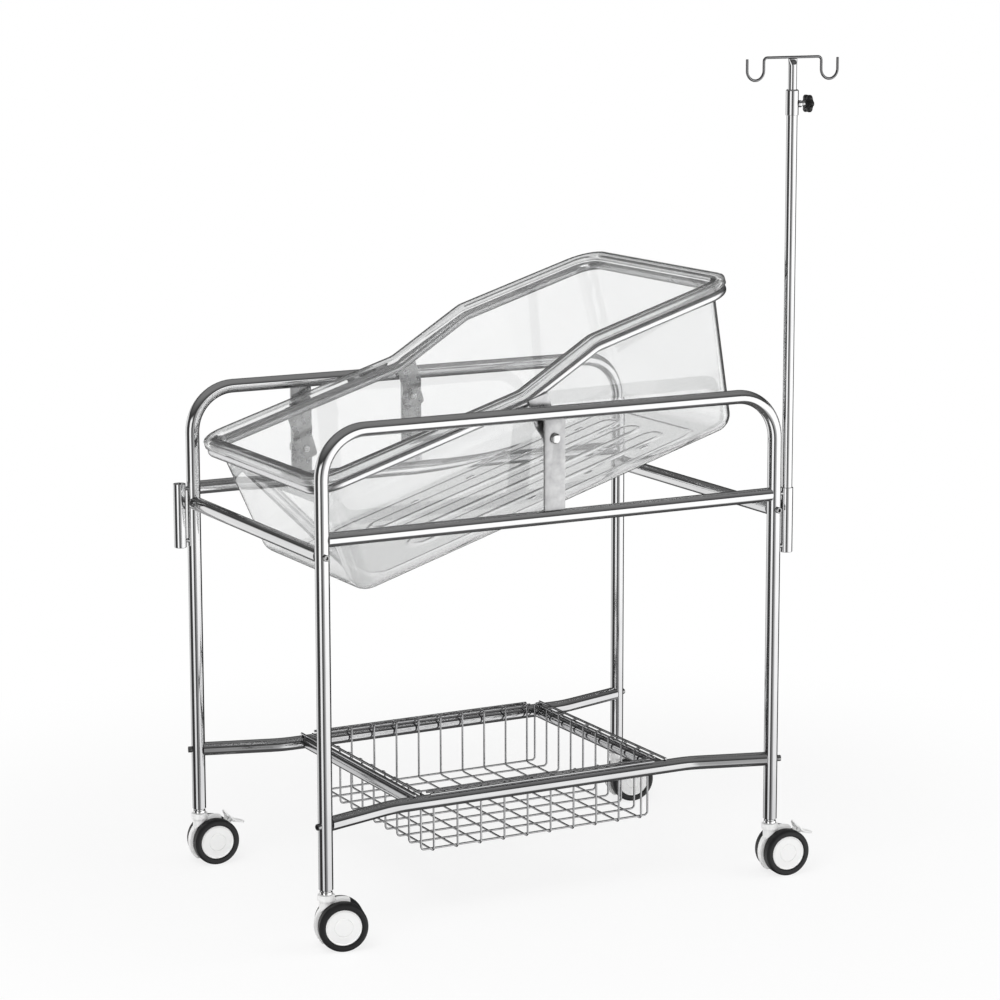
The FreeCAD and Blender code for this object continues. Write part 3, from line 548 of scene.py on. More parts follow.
def bent_tube(bm, points, radii, diameter, sides=32, closed=False, piece=10.0, chamfer=0.0):
    """Add a round bar that follows corner points with bends of given radii."""
    around_layer, along_layer = tube_layers(bm)
    points = list(points)
    start_step = (points[0] - points[1]).normalized() * chamfer / 1000
    end_step = (points[-1] - points[-2]).normalized() * chamfer / 1000
    points[0] = points[0] - start_step
    points[-1] = points[-1] - end_step
    ring = bmesh.ops.create_circle(bm, cap_ends=False, radius=diameter / 2000,
                                   segments=sides)["verts"]
    for vert in ring:
        vert[around_layer] = vert.co.copy()
    heading = (points[1] - points[0]).normalized()
    bmesh.ops.transform(bm, matrix=stand(points[0], heading), verts=ring)
    first_edges = edges = edges_of(ring)
    travelled = 0.0
    for kind, *move in corners_to_moves(points, radii):
        if kind == "run":
            steps, length = 1, move[0].length
        else:
            centre, axis, angle, radius = move
            steps = max(2, math.ceil(math.degrees(angle) / piece))
            length = radius * angle / steps
        for _ in range(steps):
            if kind == "run":
                ring, edges = extrude_loop(bm, edges)
                bmesh.ops.translate(bm, vec=move[0], verts=ring)
            else:
                new = bmesh.ops.spin(bm, geom=edges, cent=centre, axis=axis, steps=1,
                                     angle=angle / steps, use_duplicate=False)["geom_last"]
                ring, edges = verts_in(new), edges_in(new)
            travelled += length
            for vert in ring:
                vert[along_layer] = travelled
    if closed:
        bmesh.ops.remove_doubles(bm, verts=bm.verts, dist=1e-5)
        return
    if chamfer:
        narrow = 1 - 2 * chamfer / diameter
        first_edges = narrow_end(bm, first_edges, start_step, narrow)
        edges = narrow_end(bm, edges, end_step, narrow)
    bmesh.ops.edgeloop_fill(bm, edges=first_edges)
    bmesh.ops.edgeloop_fill(bm, edges=edges)


# %% [markdown]
# Anything turned on a lathe, such as a hub, a bolt or a collar, is half an outline
# spun a full circle about its axis. A rule for the radius can then press flutes,
# lobes or a hexagon into it.

# %% Turn an outline on a lathe
def turned(bm, outline, base, direction, steps=64, rounding=None, hollow=False, reshape=None):
    """Add a solid whose half outline is (radius, height) pairs in millimetres."""
    around_layer, along_layer = tube_layers(bm)
    before = set(bm.verts)
    verts = [bm.verts.new((radius / 1000, 0.0, height / 1000)) for radius, height in outline]
    for pair in zip(verts, verts[1:]):
        bm.edges.new(pair)
    if hollow:
        bm.edges.new((verts[-1], verts[0]))
    for place, size in (rounding or {}).items():
        soften(bm, [verts[place]], size, 4)
    half = added(bm, before)
    bmesh.ops.spin(bm, geom=half + edges_of(half), cent=(0, 0, 0), axis=(0, 0, 1),
                   angle=2 * math.pi, steps=steps, use_merge=True)
    bmesh.ops.remove_doubles(bm, verts=added(bm, before), dist=1e-6)
    fresh = added(bm, before)
    for vert in fresh:
        if reshape:
            reshape(vert)
        vert[around_layer] = Vector((vert.co.x, vert.co.y, 0.0))
        vert[along_layer] = vert.co.z
    bmesh.ops.transform(bm, matrix=stand(base, direction), verts=fresh)


def by_radius(rule):
    """Reshape that moves a vertex in or out, by a rule for its radius and bearing."""
    def reshape(vert):
        radius = math.hypot(vert.co.x, vert.co.y)
        if radius:
            share = rule(radius, math.atan2(vert.co.y, vert.co.x)) / radius
            vert.co.x *= share
            vert.co.y *= share
    return reshape


# %% [markdown]
# Straps, bars and pedal leaves are cut from sheet. The outline is a face whose
# corners are rounded with a vertex bevel; round holes are circles, and a triangle
# fill closes the sheet between them before it is extruded to its thickness.

# %% Cut a piece of sheet
def sheet_piece(bm, corners, holes, thickness, place, break_edge=0.4):
    """Add a sheet part drawn in X and Z, its thickness along Y, in millimetres."""
    before = set(bm.verts)
    outline = [bm.verts.new((x / 1000, 0.0, z / 1000)) for x, z, _ in corners]
    bm.faces.new(outline)
    for vert, (_, _, radius) in zip(outline, corners):
        if radius:
            soften(bm, [vert], radius, 10)
    bmesh.ops.delete(bm, geom=faces_of(added(bm, before)), context="FACES_ONLY")
    for x, z, diameter in holes:
        spot = Matrix.Translation((x / 1000, 0, z / 1000)) @ Matrix.Rotation(math.pi / 2, 4, "X")
        bmesh.ops.create_circle(bm, cap_ends=False, radius=diameter / 2000, segments=32,
                                matrix=spot)
    bmesh.ops.remove_doubles(bm, verts=added(bm, before), dist=1e-6)
    flat = added(bm, before)
    bmesh.ops.triangle_fill(bm, use_beauty=True, use_dissolve=False, edges=edges_of(flat))
    raised = bmesh.ops.extrude_face_region(bm, geom=faces_of(flat))["geom"]
    bmesh.ops.translate(bm, vec=(0, thickness / 1000, 0), verts=verts_in(raised))
    body = added(bm, before)
    bmesh.ops.recalc_face_normals(bm, faces=faces_of(body))
    sharp = [edge for edge in edges_of(body) if edge.calc_face_angle(0.0) > math.radians(50)]
    soften(bm, sharp, break_edge, 2, "EDGES")
    body = added(bm, before)
    bmesh.ops.transform(bm, matrix=place, verts=body)
    return body


# %% [markdown]
# A Boolean modifier cuts what the operators can't, such as a curved slot. It runs
# on two temporary objects, and its result comes back as a new bmesh.

# %% Carve one mesh out of another
def carve(bm, cutter_bm, itself=False):
    """Cut one closed bmesh out of another and return what is left."""
    things = []
    for label, source in (("carve_body", bm), ("carve_cutter", cutter_bm)):
        mesh = bpy.data.meshes.new(label)
        bmesh.ops.recalc_face_normals(source, faces=source.faces)
        source.to_mesh(mesh)
        source.free()
        things.append(add_object(label, mesh))
    trim = things[0].modifiers.new("carve", "BOOLEAN")
    trim.object = things[1]
    trim.operation = "DIFFERENCE"
    trim.solver = "EXACT"
    trim.use_self = itself
    cut = things[0].evaluated_get(bpy.context.evaluated_depsgraph_get())
    left = bmesh.new()
    left.from_mesh(cut.to_mesh())
    cut.to_mesh_clear()
    for thing in things:
        mesh = thing.data
        bpy.data.objects.remove(thing)
        bpy.data.meshes.remove(mesh)
    return left


# %% [markdown]
# One helper ends every piece: it turns faces outwards, shades it, gives it its
# finish, and says which body it rides on and which solids it stands for.

# %% Finish a piece
made_pieces = []


def make_piece(bm, name, material, body, replaced=None, crease=32.0, recalc=True):
    """Turn a bmesh into a piece, which stands for the solid of its name or for others."""
    if recalc:
        bmesh.ops.recalc_face_normals(bm, faces=bm.faces)
    label = name if replaced else name + "_look"
    mesh = bpy.data.meshes.new(label)
    bm.to_mesh(mesh)
    bm.free()
    mesh.shade_smooth()
    mesh.set_sharp_from_angle(angle=math.radians(crease))
    mesh.materials.append(material)
    piece = add_object(label, mesh)
    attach(piece, body)
    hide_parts(*(replaced or [name]))
    made_pieces.append(label)


# %% [markdown]
# ## Trolley tubes
# Each side of the trolley is one tube bent into an upside-down U. Rails join the
# two, and the lower rails bend inwards so that the basket hangs between them.

# %% Hoops and rails
TUBE, TUBE_R = 22.0, 11.0
TOP_Z, MID_Z, END_Z, LOW_Z, LEG_Z = 782.0, 622.0, 598.0, 191.0, 91.0
LOW_Y, LOW_BEND_X = 205.0, 262.0
HOOP_BEND, LOW_BEND, LEG_CHAMFER = 70.0, 120.0, 1.6
FOOT_CROSS_X, HEAD_CROSS_X = -218.0, 212.0
INTO_LEG = 3.0
SIDES = {"near": -1, "far": 1}
ENDS = {"foot": -1, "head": 1}


def one_tube(name, points, radii=(), diameter=TUBE, body="trolley", sides=40,
             material=tube_steel, closed=False, chamfer=0.0):
    """A piece that is a single bent tube."""
    bm = bmesh.new()
    bent_tube(bm, points, radii, diameter, sides, closed, 6.0, chamfer)
    make_piece(bm, name, material, body)


def lengthwise(*half):
    """Points of a tube with like halves, from those of its foot half."""
    return [at(*point) for point in half] + [at(-x, y, z) for x, y, z in reversed(half)]


for side, sign in SIDES.items():
    y, low_y = sign * LEG_Y, sign * LOW_Y
    one_tube(side + "_hoop", lengthwise((-LEG_X, y, LEG_Z), (-LEG_X, y, TOP_Z)),
             [HOOP_BEND] * 2, chamfer=LEG_CHAMFER)
    inner_x = LEG_X - TUBE_R + INTO_LEG
    one_tube(side + "_mid_rail", lengthwise((-inner_x, y, MID_Z)))
    slope = (LEG_Y - LOW_Y) / (LEG_X - LOW_BEND_X)
    start_y = y - sign * slope * (LEG_X - inner_x)
    one_tube(side + "_lower_rail",
             lengthwise((-inner_x, start_y, LOW_Z), (-LOW_BEND_X, low_y, LOW_Z)),
             [LOW_BEND] * 2)
for end, sign in ENDS.items():
    inner_y = LEG_Y - TUBE_R + INTO_LEG
    one_tube(end + "_end_rail",
             [at(sign * LEG_X, -inner_y, END_Z), at(sign * LEG_X, inner_y, END_Z)])
# The cross rails under the basket rods take the darker wire finish: painted shade on tubes of
# the same steel as the other rails.
for end, x in (("foot", FOOT_CROSS_X), ("head", HEAD_CROSS_X)):
    inner_y = LOW_Y - TUBE_R + INTO_LEG
    one_tube(end + "_cross_rail", [at(x, -inner_y, LOW_Z), at(x, inner_y, LOW_Z)],
             material=wire_steel_and_rail_shade)
print(len(made_pieces), "tubes")

# %% [markdown]
# Eight socket-head screws pull the rails onto the legs. Each head is turned with a
# round recess, and the points of the recess are then drawn to a hexagon.

# %% Rail screws
SCREW_R, SCREW_HEIGHT, RECESS_R, RECESS_FLOOR, RECESS_FLATS = 5.0, 6.5, 2.9, 3.4, 5.0
RECESS_INSIDE, RECESS_OUTSIDE = 0.002, 0.0031


def to_hexagon(radius, turn):
    """Draw the recess of a screw head to a hexagon."""
    if not RECESS_INSIDE < radius < RECESS_OUTSIDE:
        return radius
    within = (turn + math.pi / 6) % (math.pi / 3) - math.pi / 6
    return RECESS_FLATS / 2000 / math.cos(within)


bm = bmesh.new()
screw_outline = [(0, 0), (SCREW_R, 0), (SCREW_R, SCREW_HEIGHT), (RECESS_R, SCREW_HEIGHT),
                 (RECESS_R, RECESS_FLOOR), (0, RECESS_FLOOR)]
for sign_x in ENDS.values():
    for sign_y in SIDES.values():
        leg = at(sign_x * LEG_X, sign_y * LEG_Y, LOW_Z)
        low_out = (leg - at(sign_x * LOW_BEND_X, sign_y * LOW_Y, LOW_Z)).normalized()
        for z, outward in ((END_Z, Vector((0, sign_y, 0))), (LOW_Z, low_out)):
            seat = at(sign_x * LEG_X, sign_y * LEG_Y, z) + outward * (TUBE_R - 1) / 1000
            turned(bm, screw_outline, seat, outward, 36, {2: 0.7, 3: 0.2},
                   reshape=by_radius(to_hexagon))
make_piece(bm, "rail_screws", screw_steel, "trolley")

# %% [markdown]
# ## Cradle ring
# The ring is one closed tube. Its corners are bent flat and its long sides have a
# step, so that the head end stands higher than the foot end.

# %% Cradle ring
RING, RING_BEND, RING_FOOT, RING_HEAD, RING_Y = 16.0, 40.0, -377.5, 375.5, 218.0
STEP_START, STEP_END, RING_H, STEP_H = -18.5, 122.5, 61.0, 37.0
ring_side = [(RING_FOOT, RING_H), (STEP_START, RING_H), (STEP_END, RING_H + STEP_H),
             (RING_HEAD, RING_H + STEP_H)]
foot_middle = in_tub(RING_FOOT, 0, RING_H)
ring_line = [foot_middle]
ring_line += [in_tub(along, -RING_Y, height) for along, height in ring_side]
ring_line += [in_tub(along, RING_Y, height) for along, height in reversed(ring_side)]
one_tube("rim_ring", ring_line + [foot_middle], [RING_BEND] * 8, RING, "cradle",
         material=ring_steel, closed=True)

# %% [markdown]
# ## Tub
# The tub is one clear moulding. Its skin starts as the rounded outline of the
# base, and that loop is extruded again and again: over the rounded lower edge, up
# the drafted wall, round the lip, down inside and across the floor. Each point
# keeps the outline point it came from, so every loop is that outline resized. An
# outline is its two ends, its half width and its corner radius.

# %% Tub outline
DRAFT = math.tan(math.radians(5.3))
WALL, BASE_H, FILLET = 3.2, -128.0, 24.0
LIP_LOW, LIP_HIGH, LIP_R, LIP_WIDE, WALL_R = 8.3, 20.5, 50.0, 20.0, 30.0
OVER_RING, KINK_REACH = 10.0, 5.2
LIP_OUT = (RING_FOOT - OVER_RING, RING_HEAD + OVER_RING, RING_Y + OVER_RING, LIP_R)
FOOT_RISE = RING_H + LIP_LOW - BASE_H
HEAD_RISE = FOOT_RISE + STEP_H
BASE = (LIP_OUT[0] + LIP_WIDE + FOOT_RISE * DRAFT, LIP_OUT[1] - LIP_WIDE - HEAD_RISE * DRAFT,
        LIP_OUT[2] - LIP_WIDE - HEAD_RISE * DRAFT, WALL_R)
STEP_TAN = STEP_H / (STEP_END - STEP_START)


def after_kink(distance):
    """Distance past a kink, or 0 before it, eased where they meet."""
    if distance <= -KINK_REACH:
        return 0.0
    if distance >= KINK_REACH:
        return distance
    return (distance + KINK_REACH) ** 2 / (4 * KINK_REACH)


def rim_height(along, rise):
    """Height of a line that runs a set rise above the ring, with soft kinks."""
    shift = rise * math.tan(math.atan(STEP_TAN) / 2)
    climbed = after_kink(along - STEP_START + shift) - after_kink(along - STEP_END + shift)
    return RING_H + rise + STEP_TAN * climbed


def on_outline(source, spec):
    """Where a point of the base outline lies on another rounded rectangle."""
    x0, x1, half, radius = spec
    b0, b1, b_half, b_radius = BASE
    centre = (b0 + b1) / 2
    inner_x, inner_y = (b1 - b0) / 2 - b_radius, b_half - b_radius
    qx = max(-inner_x, min(inner_x, source.x - centre))
    qy = max(-inner_y, min(inner_y, source.y))
    nx, ny = source.x - centre - qx, source.y - qy
    length = math.hypot(nx, ny) or 1.0
    new_x = qx * max((x1 - x0) / 2 - radius, 0) / inner_x + nx / length * radius
    new_y = qy * max(half - radius, 0) / inner_y + ny / length * radius
    return (x0 + x1) / 2 + new_x, new_y


def wall_spec(height, inset):
    """Outline of the drafted wall at a height, moved inwards by an inset."""
    out = (height - BASE_H) * DRAFT - inset
    return (BASE[0] - out, BASE[1] + out, BASE[2] + out, WALL_R - inset)


def shrink(spec, inset, least_radius=4.0):
    """Outline moved inwards all round, with a corner radius that stays above a least."""
    return (spec[0] + inset, spec[1] - inset, max(spec[2] - inset, 0.0),
            max(spec[3] - inset, least_radius))


# %% [markdown]
# The floor has a raised panel with three long oval ribs. Their edges are soft
# steps, so a smooth blend from 0 to 1 over a few millimetres raises the skin.

# %% Floor relief
RIBS_Y, RIB_HALF, RIB_X0, RIB_X1 = (-70.0, 0.0, 70.0), 22.0, -205.0, 262.0
PANEL_INSET, PANEL_R, PANEL_RISE, PANEL_EDGE = 48.0, 30.0, 2.0, 5.0
RIB_RISE, RIB_EDGE = 2.5, 6.0


def soft_step(distance, width):
    """0 outside an edge, 1 inside it, eased across a width."""
    share = max(0.0, min(1.0, distance / width + 0.5))
    return share * share * (3 - 2 * share)


def relief(x, y):
    """Height of the floor's panel and ribs above its edge."""
    x0, x1, half, _ = shrink(BASE, PANEL_INSET)
    dx = max(x0 + PANEL_R - x, x - (x1 - PANEL_R), 0.0)
    dy = max(abs(y) - (half - PANEL_R), 0.0)
    height = PANEL_RISE * soft_step(PANEL_R - math.hypot(dx, dy), PANEL_EDGE)
    for row in RIBS_Y:
        over = max(RIB_X0 + RIB_HALF - x, x - (RIB_X1 - RIB_HALF), 0.0)
        height += RIB_RISE * soft_step(RIB_HALF - math.hypot(over, y - row), RIB_EDGE)
    return height


# %% [markdown]
# A row says where one loop of the skin lies: its outline and its height, each
# worked out from the place along the tub, and whether it is on the floor.

# %% Rows of the skin
WALL_ROWS, FILLET_ROWS, FLOOR_PITCH, CHANNEL = 12, 7, 3.2, 3.0


def level_row(spec, height, on_floor=False):
    """Loop of one outline at one height."""
    return (lambda along: spec, lambda along: height, on_floor)


def floor_rows(spec, height):
    """Loops across the floor, from its edge to its middle."""
    count = int(shrink(wall_spec(BASE_H, 0.0), FILLET)[2] / FLOOR_PITCH)
    return [level_row(shrink(spec, row * FLOOR_PITCH, 0.02), height, True)
            for row in range(1, count + 1)]


def fillet_rows(low, radius, inset):
    """Loops over a rounded lower edge, floor to wall."""
    rows = []
    for step in range(FILLET_ROWS + 1):
        angle = math.pi / 2 * step / FILLET_ROWS
        height = low + radius * (1 - math.cos(angle))
        inward = radius * (1 - math.sin(angle))
        rows.append(level_row(shrink(wall_spec(height, inset), inward), height))
    return rows


def wall_rows(inset, rise):
    """Loops up the wall, from its lower edge to a rise above the ring."""
    def wall_row(share):
        def height(along):
            low = BASE_H + FILLET
            return low + (rim_height(along, rise) - low) * share
        return (lambda along: wall_spec(height(along), inset), height, False)
    return [wall_row(row / WALL_ROWS) for row in range(1, WALL_ROWS + 1)]


def lip_row(inset, rise):
    """Loop a set distance inside the lip's outer edge and above the ring."""
    return (lambda along: shrink(LIP_OUT, inset), lambda along: rim_height(along, rise), False)


LIP_UNDER, WALL_TOP = LIP_HIGH - CHANNEL, LIP_HIGH - 5
lip_points = [(19.5, 14.0), (19.0, LIP_UNDER - 1), (18.0, LIP_UNDER), (CHANNEL + 2, LIP_UNDER),
              (CHANNEL + 0.5, LIP_UNDER - 0.6), (CHANNEL, LIP_UNDER - 2),
              (CHANNEL, LIP_LOW + 0.6), (CHANNEL - 0.6, LIP_LOW), (0.8, LIP_LOW),
              (0.2, LIP_LOW + 0.3), (0.0, LIP_LOW + 1.0), (0.0, LIP_HIGH - 4.0),
              (0.35, LIP_HIGH - 2.4), (1.2, LIP_HIGH - 1.1), (2.4, LIP_HIGH - 0.3),
              (4.0, LIP_HIGH), (18.5, LIP_HIGH), (20.5, LIP_HIGH - 0.35),
              (22.0, LIP_HIGH - 1.3), (22.8, LIP_HIGH - 2.6)]
inner_low, inner_fillet = BASE_H + WALL, FILLET - WALL
skin = floor_rows(shrink(wall_spec(BASE_H, 0.0), FILLET), BASE_H)[::-1]
skin += fillet_rows(BASE_H, FILLET, 0.0) + wall_rows(0.0, LIP_LOW)
skin += [lip_row(inset, rise) for inset, rise in lip_points]
skin += wall_rows(WALL, WALL_TOP)[::-1] + fillet_rows(inner_low, inner_fillet, WALL)[::-1]
skin += floor_rows(shrink(wall_spec(inner_low, WALL), inner_fillet), inner_low)

# %% Tub skin
EDGE_PITCH = 7.0
bm = bmesh.new()
plate = bmesh.ops.create_grid(bm, x_segments=1, y_segments=1, size=0.5)["verts"]
for vert in plate:
    vert.co = (BASE[0] + (vert.co.x + 0.5) * (BASE[1] - BASE[0]), vert.co.y * 2 * BASE[2], 0.0)
soften(bm, plate, WALL_R * 1000, 8)
for edge in list(bm.edges):
    if edge.calc_length() > 200:
        cuts = round(edge.calc_length() / EDGE_PITCH)
        bmesh.ops.subdivide_edges(bm, edges=[edge], cuts=cuts)
bmesh.ops.delete(bm, geom=list(bm.faces), context="FACES_ONLY")
source_layer = bm.verts.layers.float_vector.new("outline_point")
for vert in bm.verts:
    vert[source_layer] = vert.co.copy()


def settle(verts, spec_of, height_of, on_floor):
    """Move a loop's points onto their rounded rectangle and height."""
    for vert in verts:
        source = vert[source_layer]
        x = source.x
        for _ in range(3):
            x, y = on_outline(source, spec_of(x))
        height = height_of(x)
        if on_floor:
            height += relief(x, y)
        vert.co = in_tub(x, y, height)


loop_verts, loop_edges = list(bm.verts), list(bm.edges)
settle(loop_verts, *skin[0])
for row in skin[1:]:
    loop_verts, loop_edges = extrude_loop(bm, loop_edges)
    settle(loop_verts, *row)
ends = [vert for vert in bm.verts if vert.is_boundary]
bmesh.ops.remove_doubles(bm, verts=ends, dist=0.0002)
open_edges = [edge for edge in bm.edges if edge.is_boundary]
if open_edges:
    bmesh.ops.holes_fill(bm, edges=open_edges, sides=0)
bmesh.ops.dissolve_degenerate(bm, dist=1e-6, edges=bm.edges)
print("tub skin:", len(bm.faces), "faces")

# %% [markdown]
# Two rows of short vent slots go through the floor, outside the ribs. A slot
# cutter is a prism whose two halves are drawn apart, tall enough for the floor.

# %% Vent slots and the finished tub
TUB_PLACE = Matrix.Translation(at(PIVOT_X, 0, PIVOT_Z)) @ Matrix.Rotation(-TILT, 4, "Y")
VENT_SIDE, VENT_PITCH, VENT_LENGTH, VENT_WIDTH = 105.0, 106.0, 16.0, 6.0
VENT_BELOW, VENT_TALL = 5.0, 20.0
cutters = bmesh.new()
for row in (-1, 1):
    for index in range(-1, 3):
        slot = prism(cutters, VENT_WIDTH / 2, 16, VENT_TALL)
        for vert in slot:
            vert.co.x += math.copysign((VENT_LENGTH - VENT_WIDTH) / 2000, vert.co.x)
        spot = Vector((index * VENT_PITCH, row * VENT_SIDE, BASE_H - VENT_BELOW)) / 1000
        bmesh.ops.transform(cutters, matrix=TUB_PLACE @ Matrix.Translation(spot), verts=slot)
bm = carve(bm, cutters)
print("tub with vents:", len(bm.faces), "faces")
make_piece(bm, "tub", clear_plastic, "tub", crease=50.0, recalc=False)

# %% [markdown]
# ## Pivots and tilt lock
# Flat bars stand between the top rails and the mid rails. Two carry the pivot
# bolts, and a third one has an arc slot for the lock. They are sheet pieces, and
# the slot is carved with a band spun about the pivot.

# %% Bars
BAR_WIDTH, BAR_THICK, LOCK_BAR_X = 35.5, 5.0, -203.0
LOCK_ALONG, LOCK_HEIGHT, BOLT = -207.1, -10.5, 8.0
INTO_RAIL = 1.5
BAR_LOW, BAR_HIGH = MID_Z + TUBE_R - INTO_RAIL, TOP_Z - TUBE_R + INTO_RAIL
SLOT_WIDTH, SLOT_DEEP = BOLT + 1.2, 20.0


def upright_bar(x, sign, holes):
    """A bar between the rails of one side, in a new bmesh."""
    bm = bmesh.new()
    half = BAR_WIDTH / 2
    corners = [(-half, BAR_LOW, 0), (half, BAR_LOW, 0), (half, BAR_HIGH, 0),
               (-half, BAR_HIGH, 0)]
    place = Matrix.Translation(at(x, sign * LEG_Y - BAR_THICK / 2, 0))
    sheet_piece(bm, corners, holes, BAR_THICK, place)
    return bm


# The near bar's darker finish is painted shade.
for side, metal in (("near", shaded_bar_steel), ("far", strip_steel)):
    bm = upright_bar(PIVOT_X, SIDES[side], [(0, PIVOT_Z, BOLT + 0.1)])
    make_piece(bm, side + "_pivot_bar", metal, "trolley")

bm = upright_bar(LOCK_BAR_X, 1, [])
cutters = bmesh.new()
lock_radius = math.hypot(LOCK_ALONG, LOCK_HEIGHT)
level_angle = math.atan2(LOCK_HEIGHT, LOCK_ALONG)
pivot = at(PIVOT_X, LEG_Y - 2 * BAR_THICK, PIVOT_Z)
slot_end = [(0, 0), (SLOT_WIDTH / 2, 0), (SLOT_WIDTH / 2, SLOT_DEEP), (0, SLOT_DEEP)]
for angle in (level_angle, level_angle + TILT):
    centre = pivot + Vector((math.cos(angle), 0, math.sin(angle))) * lock_radius / 1000
    turned(cutters, slot_end, centre, (0, 1, 0), 32)
outward = Vector((math.cos(level_angle), 0, math.sin(level_angle)))
band = bmesh.ops.create_grid(cutters, x_segments=1, y_segments=1, size=0.5)["verts"]
for vert in band:
    vert.co = (pivot + outward * (lock_radius + vert.co.x * SLOT_WIDTH) / 1000
               + Vector((0, (vert.co.y + 0.5) * SLOT_DEEP / 1000, 0)))
bmesh.ops.spin(cutters, geom=faces_of(band), cent=pivot, axis=(0, -1, 0), angle=TILT, steps=14)
bm = carve(bm, cutters, itself=True)
make_piece(bm, "tilt_lock_bar", strip_steel, "trolley")

# %% [markdown]
# The hangers are straps that joggle outwards from the ring to the bars. Each one
# is cut flat, sliced level at many heights, and its slices are pushed sideways.

# %% Hangers
HANGER_WIDTH, HANGER_THICK, HANGER_DROP = 35.0, 4.0, 17.5
HANGER_LOW_Y, HANGER_TOP_Y = 242.1, RING_Y + RING / 2 + HANGER_THICK
JOGGLE_LOW, JOGGLE_HIGH, JOGGLE_EASE = 8.0, 22.0, 2.5
SLICES, SLICE_PITCH = 16, 1.33


def joggle(height):
    """How far a strap's outer face has moved in at a height."""
    share = (height - JOGGLE_LOW) / (JOGGLE_HIGH - JOGGLE_LOW)
    ease = JOGGLE_EASE / (JOGGLE_HIGH - JOGGLE_LOW)
    if share <= -ease:
        share = 0.0
    elif share < ease:
        share = (share + ease) ** 2 / (4 * ease)
    elif share >= 1 + ease:
        share = 1.0
    elif share > 1 - ease:
        share = 1 - (1 + ease - share) ** 2 / (4 * ease)
    return (HANGER_TOP_Y - HANGER_LOW_Y) * share


def hanger(name, along, height, sign):
    """Joggled strap with a rounded foot round its bolt hole."""
    left, right = along - HANGER_WIDTH / 2, along + HANGER_WIDTH / 2
    low, high = height - HANGER_DROP, RING_H + 5
    bm = bmesh.new()
    sheet_piece(bm, [(left, low, 6.0), (right, low, 6.0), (right, high, 1.0), (left, high, 1.0)],
                [(along, height, BOLT + 0.1)], HANGER_THICK, Matrix.Identity(4))
    for step in range(SLICES):
        level = (JOGGLE_LOW - 3 + step * SLICE_PITCH) / 1000
        bmesh.ops.bisect_plane(bm, geom=bm.verts[:] + bm.edges[:] + bm.faces[:], dist=1e-6,
                               plane_co=(0, 0, level), plane_no=(0, 0, 1))
    for vert in bm.verts:
        outer = HANGER_LOW_Y + joggle(vert.co.z * 1000)
        vert.co.y = sign * (outer / 1000 - HANGER_THICK / 1000 + vert.co.y)
    bmesh.ops.transform(bm, matrix=TUB_PLACE, verts=bm.verts)
    make_piece(bm, name, strip_steel, "cradle")


hanger("near_hanger", 0.0, 0.0, -1)
hanger("far_hanger", 0.0, 0.0, 1)
hanger("lock_hanger", LOCK_ALONG, LOCK_HEIGHT, 1)

# %% [markdown]
# The bolts have low domed heads outside and hexagon nuts inside. A nut starts as
# a circle of six segments, so its corners are exact before the edges are broken.

# %% Bolts
NUT_FLATS, NUT_HEIGHT = 10.5, 5.0
NUT_Y = HANGER_LOW_Y - HANGER_THICK - 0.3 - NUT_HEIGHT
LOCK_NUT_Y = NUT_Y + 0.3
BAR_FACE_Y = LEG_Y + BAR_THICK / 2
HEAD_OUTLINE = [(0, 0), (8.0, 0), (8.0, 3.0), (5.0, 4.3), (0, 4.5)]
LOCK_SHANK = 27.0


def nut(bm, place):
    """Add a hexagon nut with broken edges, its axis along local Z."""
    body = prism(bm, NUT_FLATS / math.sqrt(3), 6, NUT_HEIGHT)
    made = soften(bm, edges_of(body), 0.5, 2, "EDGES")["verts"]
    body = {vert for vert in body if vert.is_valid} | set(made)
    bmesh.ops.transform(bm, matrix=place, verts=list(body))


def shank(bm, length, base, direction, rounding=None):
    """Add the plain round part of a bolt."""
    outline = [(0, 0), (BOLT / 2, 0), (BOLT / 2, length), (0, length)]
    turned(bm, outline, base, direction, 24, rounding)


bm = bmesh.new()
for sign in SIDES.values():
    outward = Vector((0, sign, 0))
    spot = at(PIVOT_X, 0, PIVOT_Z)
    turned(bm, HEAD_OUTLINE, spot + outward * BAR_FACE_Y / 1000, outward, 48, {2: 0.8})
    shank(bm, BAR_FACE_Y - NUT_Y + 1, spot + outward * (NUT_Y - 0.5) / 1000, outward, {1: 0.5})
    nut(bm, stand(spot + outward * NUT_Y / 1000, outward))
make_piece(bm, "pivot_bolts", bolt_steel, "trolley")

bm = bmesh.new()
lock_spot = Vector((LOCK_ALONG, LOCK_NUT_Y, LOCK_HEIGHT)) / 1000
nut(bm, TUB_PLACE @ stand(lock_spot, (0, 1, 0)))
shank(bm, LOCK_SHANK, in_tub(LOCK_ALONG, LOCK_NUT_Y + 1, LOCK_HEIGHT), (0, 1, 0))
make_piece(bm, "lock_bolt", bolt_steel, "cradle")

# %% [markdown]
# Fingers turn the lock knob by its flutes. The knob is turned round first, and
# then its skirt is pressed in at even steps around.

# %% Lock knob
KNOB_Y, KNOB_NECK, KNOB_LENGTH, KNOB_R = BAR_FACE_Y + 0.5, 6.5, 18.0, 14.5
KNOB_BORE, KNOB_DISH = BOLT / 2 + 0.05, 0.8
FLUTES, FLUTE_START, FLUTE_DEEP = 10, 0.011, 0.0011


def fluted(radius, turn):
    """Press shallow flutes into the skirt of the lock knob."""
    if radius < FLUTE_START:
        return radius
    return radius - max(0.0, math.cos(turn * FLUTES)) ** 2 * FLUTE_DEEP


